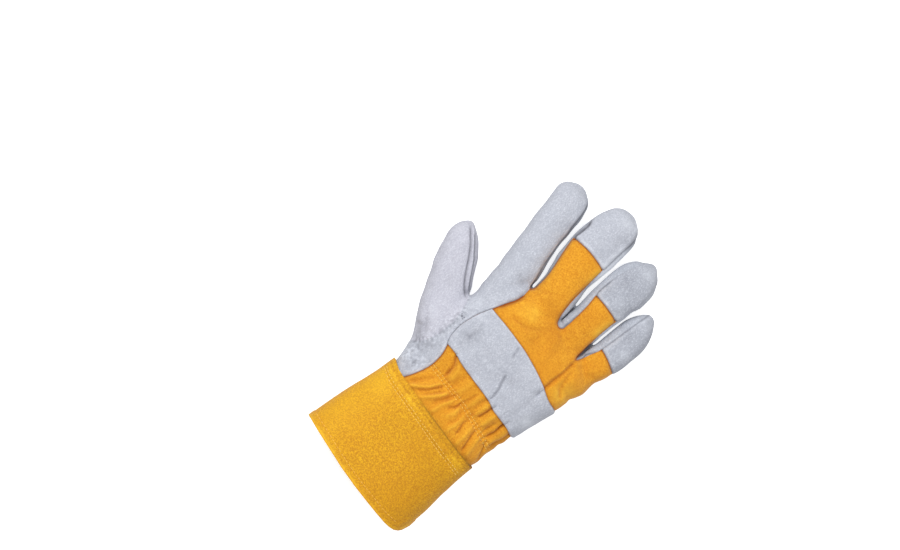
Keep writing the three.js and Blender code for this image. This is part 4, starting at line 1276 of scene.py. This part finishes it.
# %% [markdown]
# ## The knuckle strap
# A second strip of leather is sewn flat over the knuckles. Its edges are folded under, so they are round
# and stand up with a shadow. A flat strip could be laid on the back with Shrinkwrap, but one that is cut from
# the same skin follows every fold below it and never sinks in.

# %% Lay the strap on the back
STRAP_UP = 1.7      # how far the strap stands above the back
STRAP_ROLL = 1.8    # how wide its rounded edge is
STRAP_DOWN_TO = 11  # the height where the strap ends on the glove's side
# (line, depth, width, how dark), as above: painted shade along the valleys
STRAP_FOLDS = [
    ([(17.4, 31), (20, 26), (22.4, 19.6)], -0.9, 0.9, 0.36),
    ([(27.6, 11.4), (30.6, 5), (33.4, -1), (35.2, -10)], -1.1, 0.9, 0.5),
    ([(-13, 22), (-8, 14), (-9, 2)], -0.5, 2.6, 0.14),
    ([(50, 24), (53, 8), (52, -11)], -0.5, 2.8, 0.1),
    ([(6, 30), (4, 10), (8, -8)], 0.35, 4.0, 0.0),
    ([(42, 27), (40, 10), (44, -10)], 0.35, 4.0, 0.0),
]
whole = Panel(hand_points, hand_out, np.zeros(len(hand_points)), triangles_of(hand_quads))
rise = np.minimum(whole.points[:, 2] - STRAP_DOWN_TO, 30)
strap = keep_where(whole, np.minimum(inside(whole.points, strap_ring), rise))
edge = np.minimum(inside(strap.points, strap_ring), strap.points[:, 2] - STRAP_DOWN_TO)
edge = np.maximum(edge, 0)
roll = np.sqrt(np.maximum(0, 1 - np.maximum(0, 1 - edge / STRAP_ROLL) ** 2))
fold_up, fold_dark = fold_over(strap.points, STRAP_FOLDS, np.ones(len(strap.points)))
lift = STRAP_UP * roll + fold_up * ease(edge, 0, 2) + 0.3 * np.exp(-((edge - 2.2) / 1.2) ** 2)
# patches of wear and painted light, as on the hand
patches = sum(dark * around(strap.points, x, y, reach) for x, y, reach, dark in WEAR_AND_PAINTED_LIGHT)
patches = patches * (0.8 + 0.5 * lumps(strap.points, 2.2, 41) + 0.4 * lumps(strap.points, 5, 43))
# a painted highlight along the rolled edge, which is wear as well, painted shade at the very edge and in the
# folds
edge_highlight_and_wear = 0.5 * np.exp(-((edge - 0.8) / 0.45) ** 2) * (0.7 + 0.6 * lumps(strap.points, 3, 61))
strap.data[:, 6] = np.clip(fold_dark + patches + 0.7 * np.exp(-(edge / 0.4) ** 2) - edge_highlight_and_wear, -1, 1)
strap_piece = thick_mesh("knuckle_strap_leather", strap, -0.05, lift)
dress(strap_piece, "split_leather", "knuckle_strap", grey_suede)
print("strap:", len(strap.triangles), "triangles")

# %% [markdown]
# ## The cuff
# The cuff is a stiff double canvas, folded at the thumb side and open at the other, so that a hand can
# pull out fast. Its top edge is doubled and sewn to the wrist, and its open end is hemmed. It could be bent
# from a flat sheet, but a tube can take its measured sections, and its ends and slit are then lines to cut.

# %% The cuff's skin
CUFF_END = [(-60, -116), (-35, -117.6), (-12, -119.8), (8, -121.6), (26, -122.4), (48, -122.2), (57, -121.9),
            (62, -121.2), (65.4, -120), (67.6, -118), (68.9, -115.4), (69.6, -112), (70, -109), (90, -60)]
CUFF_TOP = [(-60, -43.5), (-30, -44.4), (-22, -47), (-14, -48), (0, -48.4), (20, -49), (40, -49.6), (90, -50)]


def open_tube(rings, crease=0.0):
    """A panel from rings of points, open at both ends."""
    count, sides = rings.shape[:2]
    points = rings.reshape(-1, 3)
    faces = tube_faces(count, sides)
    faces = faces[(faces < len(points)).all(1)]
    out = face_normals(points, faces)
    middle = points.mean(0)
    if ((points - middle) * out)[:, [0, 2]].sum() < 0:
        faces, out = faces[:, ::-1], -out
    return Panel(points, out, np.full(len(points), crease), faces)


cuff = open_tube(wide_tube(CUFF_ROWS, CUFF_SQUARENESS, step=0.8, sides=340))
end_line = np.array(CUFF_END, float)
from_end = to_line(cuff.points, end_line[:-1])[0]
print("cuff skin:", len(cuff.triangles), "triangles")

# %% Its fold, band and hem
BAND = 8.2         # the doubled top edge
BAND_DRIFT = 0.02  # the band gets deeper by this much a millimetre, from the thumb side on
HEM = 5.6          # the hem at the open end
FOLD_HEIGHT = 16   # the height of the fold at the thumb side


def cuff_relief(points, out, from_end, from_top):
    """Height of the cuff's fold, band, hem and dents, and a darkness that is mostly painted shade and light.
    """
    x, y, z = points.T
    height = ease(from_top, 4, 14) * (0.35 * lumps(points, 17, 5) + 0.12 * lumps(points, 6, 6))
    drift = BAND_DRIFT * (x + 30)
    from_seam = from_top - 1.0 - BAND - drift
    band = ease(BAND + drift - from_top, -0.5, 0.5)
    upper = ease(out[:, 2], 0.1, 0.6)
    height += upper * (0.3 * band + 0.2 * band * lumps(points, 2.2, 12))
    height -= upper * 0.35 * np.exp(-(from_seam / 0.6) ** 2)
    height -= upper * 0.3 * np.exp(-((from_top - 3.6) / 0.6) ** 2)
    height += 0.4 * ease(HEM - from_end, -0.8, 0.8)
    height -= 0.25 * np.exp(-((from_end - HEM) / 0.6) ** 2)
    fold_z = FOLD_HEIGHT + 0.05 * (y + 48)
    height += ease(-out[:, 0], 0.35, 0.8) * 1.6 * np.exp(-np.abs(z - fold_z) / 1.6)
    # painted shade in the hem's and band's seam lines and in the dent below the top edge, and painted shadow
    # along the top edge's right part, where it lies over the gathers; the band a little darker and mottled, a
    # random tone
    dark = 0.12 * np.exp(-((from_end - HEM) / 0.5) ** 2) + 0.16 * np.exp(-(from_seam / 0.6) ** 2)
    dark += 0.16 * np.exp(-((from_top - 3.6) / 0.5) ** 2) + 0.12 * band * (0.4 + lumps(points, 1.7, 14))
    dark += 0.04 * (1 + lumps(points, 9, 15)) + 0.75 * ease(x, 0, 16) * np.exp(-(from_top / 0.9) ** 2)
    # paler along the open end; a painted highlight on a line in the band; a painted gradient, lighter at the
    # thumb side and darker towards the slit's side; and paler at two places on the band
    dark -= 0.4 * np.exp(-((from_end - 1.2) / 0.8) ** 2) * (0.8 + 0.5 * lumps(points, 3, 62))
    dark -= 0.3 * upper * np.exp(-((from_top - 5.6) / 0.7) ** 2) * (0.7 + lumps(points, 2, 63))
    dark += upper * (0.07 * ease(x, 15, 60) - 0.16 * ease(-x, -6, 26) - 0.15 * around(points, -22, -63, 12))
    dark -= 0.22 * upper * (around(points, 0, -54, 6) + around(points, 56, -57, 6))
    return height, dark


top_line = np.array(CUFF_TOP, float)
LOW_TOP = -48.5  # where the cuff's top edge runs below
top_y = np.where(cuff.points[:, 2] > 22, np.interp(cuff.points[:, 0], *top_line.T), LOW_TOP)
from_top = top_y - cuff.points[:, 1]
height, dark = cuff_relief(cuff.points, cuff.out, from_end, from_top)
SLIT_TOP, SLIT_HEIGHT = -64, 13  # where the slit ends along the cuff, and how high
SLIT_SIDE = 45    # the slit and its flap are further to the right than this
FLAP_OUT = 1.2    # how far the flap beside the slit stands out
OFF_TABLE = 0.35  # the cuff's under layer stays this high
x, y, z = cuff.points.T
flap = ease(x, SLIT_SIDE, 66) * ease(-y, -SLIT_TOP, 112) * (z > SLIT_HEIGHT)
height += FLAP_OUT * flap * np.exp(-((z - SLIT_HEIGHT) / 16) ** 2)
flat = cuff.points.copy()  # the cuff is cut by its flat shape, before the flap is bent out
cuff.data[:, :3] += cuff.out * height[:, None]
cuff.data[:, 6] = np.clip(dark, -1, 1)
cuff.data[:, 2] = np.maximum(cuff.data[:, 2], OFF_TABLE)
cuff.data[:, 3:6] = face_normals(cuff.points, cuff.triangles)
print("band %.1f mm deep, hem %.1f mm" % (BAND, HEM))

# %% Its end and its slit
SLIT = [(-64, 12.7), (-64, 13.3), (-99, 15.4), (-103.5, 16.8), (-107.4, 19.6), (-110.2, 24.5), (-200, 24.5),
        (-200, 3.2), (-121, 3.2), (-117, 7.5), (-112, 9.5)]
WIDEST_AT = 27  # the height where the cuff is widest: the flap ends straight below it
p = flat
rows = np.array(CUFF_ROWS, float)
widest = np.interp(p[:, 1], rows[:, 0], rows[:, 2])
low_flap = (p[:, 0] > SLIT_SIDE) & (p[:, 2] > SLIT_HEIGHT) & (p[:, 2] < WIDEST_AT)
across = np.where(low_flap, np.maximum(p[:, 0], widest), p[:, 0])
share_up = ease(p[:, 2], 8, 30)
top_here = share_up * np.interp(p[:, 0], *top_line.T) + (1 - share_up) * LOW_TOP
value = np.minimum(p[:, 1] - np.interp(across, end_line[:, 0], end_line[:, 1]), top_here - p[:, 1])
in_slit = np.where(p[:, 0] > SLIT_SIDE, inside(p[:, 1:3], np.array(SLIT, float)), -9.0)
cuff = keep_where(cuff, np.minimum(value, -in_slit))
cuff_piece = thick_mesh("cuff_canvas_tube", cuff, CUFF_THICK)
dress(cuff_piece, "cuff_canvas", "cuff", yellow_canvas, dark_cuff_inside)
print("cuff:", len(cuff.triangles), "triangles")

# %% [markdown]
# ## The palm's tab
# The palm's leather runs on over the front of the cuff as a tab, which lies under the glove here. It could be
# one sheet with the palm, but the palm's skin goes into the cuff, so the tab is a sheet of its own. It is cut
# from a tube just outside the cuff, and starts under the palm's edge.

# %% The tab
TAB_GROW, TAB_THICK = 1.9, 1.3  # it lies outside the cuff, which is this much smaller all round
TAB_OFF_TABLE = 0.25
tab_rows = [row if row[0] != -42 else (-38, *row[1:]) for row in CUFF_ROWS]
tab = open_tube(wide_tube(tab_rows, CUFF_SQUARENESS, grow=TAB_GROW, step=1.0, sides=280))
tab_edge = softened(TAB_OUTLINE + TAB_OUTLINE[:1])
tab = keep_where(tab, np.minimum(inside(tab.points, tab_edge), PALM_UP_TO - tab.points[:, 2]))
near_edge = np.maximum(inside(tab.points, tab_edge), 0)
tab.data[:, :3] += tab.out * (0.2 * lumps(tab.points, 9, 31) - 0.7 * np.exp(-near_edge / 0.7))[:, None]
tab.data[:, 2] = np.maximum(tab.data[:, 2], TAB_OFF_TABLE)
tab.data[:, 3:6] = face_normals(tab.points, tab.triangles)
# painted shade near the tab's edge, where it dips
tab.data[:, 6] = 0.3 * np.exp(-(near_edge / 0.7) ** 2)
dress(thick_mesh("palm_tab", tab, TAB_THICK), "split_leather", None, grey_suede)
print("tab:", len(tab.triangles), "triangles")

# %% [markdown]
# ## Stitches
# A machine stitch is a short thread that comes up, lies on the surface and goes down again. Modelled
# stitches catch the light and show their shadow, which a painted row doesn't. Each is a thin tapered tube,
# laid on the surface by looking down, or up, at the place where it belongs.

# %% One stitch
def surface_of(*panels_here):
    """What a stitch is laid on: the panels as one surface that can be looked at along a ray."""
    points, triangles, count = [], [], 0
    for points_here, triangles_here in panels_here:
        points.append(points_here)
        triangles.append(triangles_here + count)
        count += len(points_here)
    return BVHTree.FromPolygons(np.vstack(points).tolist(), np.vstack(triangles).tolist())


OVER_ALL, UNDER_ALL = 120, -40  # heights from which the surface is looked for


def touch(tree, x, y, from_above=True):
    """The place and direction of the surface at x and y, or None."""
    start, way = Vector((x, y, OVER_ALL)), Vector((0, 0, -1))
    if not from_above:
        start, way = Vector((x, y, UNDER_ALL)), Vector((0, 0, 1))
    at, normal, _, _ = tree.ray_cast(start, way)
    if at is None:
        return None
    if normal.dot(way) > 0:
        normal = -normal
    return np.array(at), np.array(normal)


STITCH_SIDES = 6
BEND = np.linspace(0, 1, 5)
THINNEST, SUNK, ARCHED = 0.45, 0.35, 0.9  # of a stitch's ends and middle, as shares of the thread


def stitch(start, end, thread):
    """Points and triangles of one stitch between two places on the surface."""
    (a, na), (b, nb) = start, end
    up = na + nb
    up /= np.linalg.norm(up)
    along = b - a
    side = np.cross(along, up)
    side /= max(np.linalg.norm(side), 1e-9)
    arch = np.sin(np.pi * BEND)
    middle = a + along * BEND[:, None] + up * (thread * (ARCHED * arch - SUNK))[:, None]
    round_here = thread * (THINNEST + (1 - THINNEST) * arch)
    turn = np.linspace(0, 2 * np.pi, STITCH_SIDES, endpoint=False)
    c, s = np.cos(turn)[:, None], np.sin(turn)[:, None]
    ring = middle[:, None] + round_here[:, None, None] * (c * side + s * up)
    return closed(ring)


print("a stitch has", STITCH_SIDES * len(BEND) + 2, "points")

# %% Lay a row of stitches
HANDMADE = 0.12  # a stitch lands off its place by up to this share of the pitch, and of a millimetre aside
TOO_LONG = 2.2   # a stitch longer than this many pitches has missed the surface, and is left out


def stitch_row(name, tree, lines, pitch, fill, thread, material, slot, from_above=True):
    """One piece with all the stitches of some rows."""
    points, faces, count = [], [], 0
    hand = np.random.default_rng(11)
    for line in lines:
        line = softened(line, 0.5)
        run = np.concatenate([[0], np.cumsum(np.hypot(*np.diff(line, axis=0).T))])
        for start in np.arange(0.4, run[-1] - pitch, pitch):
            slip = hand.uniform(-HANDMADE, HANDMADE, 4) * [pitch, pitch, 1, 1]
            ends = [touch(tree, *(np.interp(s + slip[e], run, line[:, k]) + slip[2 + k] for k in (0, 1)),
                          from_above)
                    for e, s in enumerate((start, start + pitch * fill))]
            if None in ends or np.linalg.norm(ends[1][0] - ends[0][0]) > TOO_LONG * pitch:
                continue
            p, f = stitch(*ends, thread)
            points.append(p)
            faces.append(f + count)
            count += len(p)
    mesh = blender_mesh(name, np.vstack(points) * MM, np.vstack(faces))
    mesh.shade_smooth()
    piece = bpy.data.objects.new(name, mesh)
    bpy.context.collection.objects.link(piece)
    print(name, len(points), "stitches")
    return dress(piece, slot, None, material)


# %% Threads
def thread_material(name, colour):
    """Twisted yarn: fine slanting bands of the colour and a darker one."""
    material, tree, surface, place, _ = new_material(name)
    twist = put(tree, "ShaderNodeTexWave", {"Vector": place, "Scale": 600.0, "Distortion": 0.5},
                wave_type="BANDS", bands_direction="DIAGONAL").outputs["Fac"]
    darker = tuple(c * 0.78 for c in colour[:3]) + (1.0,)
    tree.links.new(blend_colours(tree, twist, darker, colour), surface.inputs["Base Color"])
    surface.inputs["Roughness"].default_value = 0.7
    return material


yellow_thread = thread_material("yellow thread", srgb(250, 206, 96))
hem_thread = thread_material("hem thread", srgb(250, 196, 80))
pale_thread = thread_material("pale thread", srgb(226, 226, 226))
grey_thread = thread_material("grey thread", srgb(120, 120, 132))
print("threads:", ", ".join(m.name for m in (yellow_thread, hem_thread, pale_thread, grey_thread)))

# %% Rows on the back of the wrist and the cuff
elastic_xs = np.linspace(-9.5, 63, 60)
back_surface = surface_of((panels["back"].points, panels["back"].triangles))
elastic_lines = [np.stack([elastic_xs, elastic_row(elastic_xs) - shift], 1) for shift in (0, ROW_APART)]
stitch_row("elastic_stitches", back_surface, elastic_lines, 2.4, 0.68, 0.3, yellow_thread, "cotton_drill")
cuff_surface = surface_of((cuff.points, cuff.triangles))
BAND_ROW, BAND_ROWS_APART = 7.6, 2.1  # the stitches' first row below the cuff's top edge, and the next one
band_xs = np.array([-29, -22, -14, 0, 20, 40, 54, 64])
first_row = np.interp(band_xs, *top_line.T) - BAND_ROW - BAND_DRIFT * (band_xs + 30)
band_lines = [np.stack([band_xs, first_row - shift], 1) for shift in (0, BAND_ROWS_APART)]
hem_line = [(x, np.interp(x, end_line[:, 0], end_line[:, 1]) + HEM) for x in (-33, -12, 8, 26, 48, 64)]
stitch_row("cuff_band_stitches", cuff_surface, band_lines, 2.8, 0.7, 0.28, yellow_thread, "cuff_canvas")
stitch_row("cuff_hem_stitches", cuff_surface, [hem_line], 3.0, 0.68, 0.26, hem_thread, "cuff_canvas")

# %% Rows on the leather
palm_surface = surface_of((panels["palm"].points, panels["palm"].triangles))
tack = [[(-26.4, 11.2), (-23, 11.8), (-19.8, 12.2)], [(-25.6, 12.8), (-22.4, 10.6), (-20.2, 10.4)]]
stitch_row("wrap_tack", palm_surface, tack, 1.7, 0.7, 0.38, grey_thread, "split_leather")
tab_surface = surface_of((tab.points, tab.triangles))
tab_inset = [(-24, -47), (-25, -58), (-22.6, -62.4), (-18, -65), (-11, -67.6), (8, -72.4), (28, -76),
             (46, -77.8), (50, -77.6), (56.6, -73), (58.4, -68), (57.8, -56), (57, -46)]
stitch_row("tab_edge_stitches", tab_surface, [tab_inset], 4.2, 0.6, 0.3, pale_thread, "split_leather",
           from_above=False)
palm_rows = [[(-23, -43), (0, -46), (20, -49), (40, -51), (55, -52)],
             [(-23, -48), (0, -52), (20, -56), (40, -58), (55, -59)]]
stitch_row("palm_row_stitches", tab_surface, palm_rows, 3.2, 0.66, 0.3, pale_thread, "split_leather",
           from_above=False)

# %% [markdown]
# ## Floor, light and camera
# The glove is shown from straight above on a white sheet. The key light, broad and soft, stands at the thumb
# side beyond the fingers. A wide light overhead and a weak fill on the little-finger side lift the rest, and
# white surroundings fill the shadows. A long lens a good way off keeps the proportions true.

# %% The floor
floor_mesh = bpy.data.meshes.new("floor")
FLOOR_HALF = 4.0
FLOOR_HEIGHT = -0.0004
corners = [(x * FLOOR_HALF, y * FLOOR_HALF, 0) for x, y in ((-1, -1), (1, -1), (1, 1), (-1, 1))]
floor_mesh.from_pydata(corners, [], [(0, 1, 2, 3)])
floor = bpy.data.objects.new("floor", floor_mesh)
floor.location.z = FLOOR_HEIGHT
bpy.context.collection.objects.link(floor)
paper, _, paper_surface, _, _ = new_material("white paper")
paper_surface.inputs["Base Color"].default_value = (0.9, 0.9, 0.9, 1)
paper_surface.inputs["Emission Color"].default_value = (1, 1, 1, 1)
paper_surface.inputs["Emission Strength"].default_value = 0.62
paper_surface.inputs["Roughness"].default_value = 1.0
paper_surface.inputs["Specular IOR Level"].default_value = 0.0
floor_mesh.materials.append(paper)
floor.visible_diffuse = False  # the paper looks white but throws no light up under the glove
print("floor: %.1f mm below the frame's zero" % (-FLOOR_HEIGHT / MM))


# %% The lights
def soft_light(name, place, watts, size, aim=(0, 0.02, 0.02)):
    """A round lamp that faces the glove."""
    lamp = bpy.data.lights.new(name, "AREA")
    lamp.energy, lamp.shape, lamp.size = watts, "DISK", size
    lamp_object = bpy.data.objects.new(name, lamp)
    lamp_object.location = place
    lamp_object.rotation_mode = "QUATERNION"
    lamp_object.rotation_quaternion = (Vector(place) - Vector(aim)).to_track_quat("Z", "Y")
    bpy.context.collection.objects.link(lamp_object)
    return lamp_object


soft_light("key", (-1.15, 0.6, 1.75), 28, 1.0)
soft_light("top", (0.1, 0.5, 2.6), 12, 1.4)
soft_light("fill", (1.5, -0.1, 1.3), 4, 1.2)
world = bpy.data.worlds.new("white room")
world.use_nodes = True
world.node_tree.nodes["Background"].inputs["Color"].default_value = (0.98, 0.99, 1.0, 1)
world.node_tree.nodes["Background"].inputs["Strength"].default_value = 0.6
bpy.context.scene.world = world
bpy.context.scene.view_settings.view_transform = "Standard"
print("lights:", [o.name for o in bpy.data.objects if o.type == "LIGHT"])

# %% The camera
TURN = math.radians(38)   # how far the glove is turned in the picture
WIDE = 0.639              # the picture's width at the glove's middle height
MID_HEIGHT = 0.025
AWAY = 5.0                # how far the camera is from that height
MIDDLE = -0.0518, 0.0225  # what the camera looks at, straight below it
SENSOR = 36
camera_data = bpy.data.cameras.new("camera")
camera_data.sensor_width = SENSOR
camera_data.lens = SENSOR * AWAY / WIDE
camera = bpy.data.objects.new("camera", camera_data)
right = Vector((math.sin(TURN), math.cos(TURN), 0))
up = Vector((-math.cos(TURN), math.sin(TURN), 0))
pose = Matrix((right, up, right.cross(up))).transposed().to_4x4()
pose.translation = (*MIDDLE, MID_HEIGHT + AWAY)
camera.matrix_world = pose
bpy.context.collection.objects.link(camera)
bpy.context.scene.camera = camera
print("lens %.1f mm" % camera_data.lens)
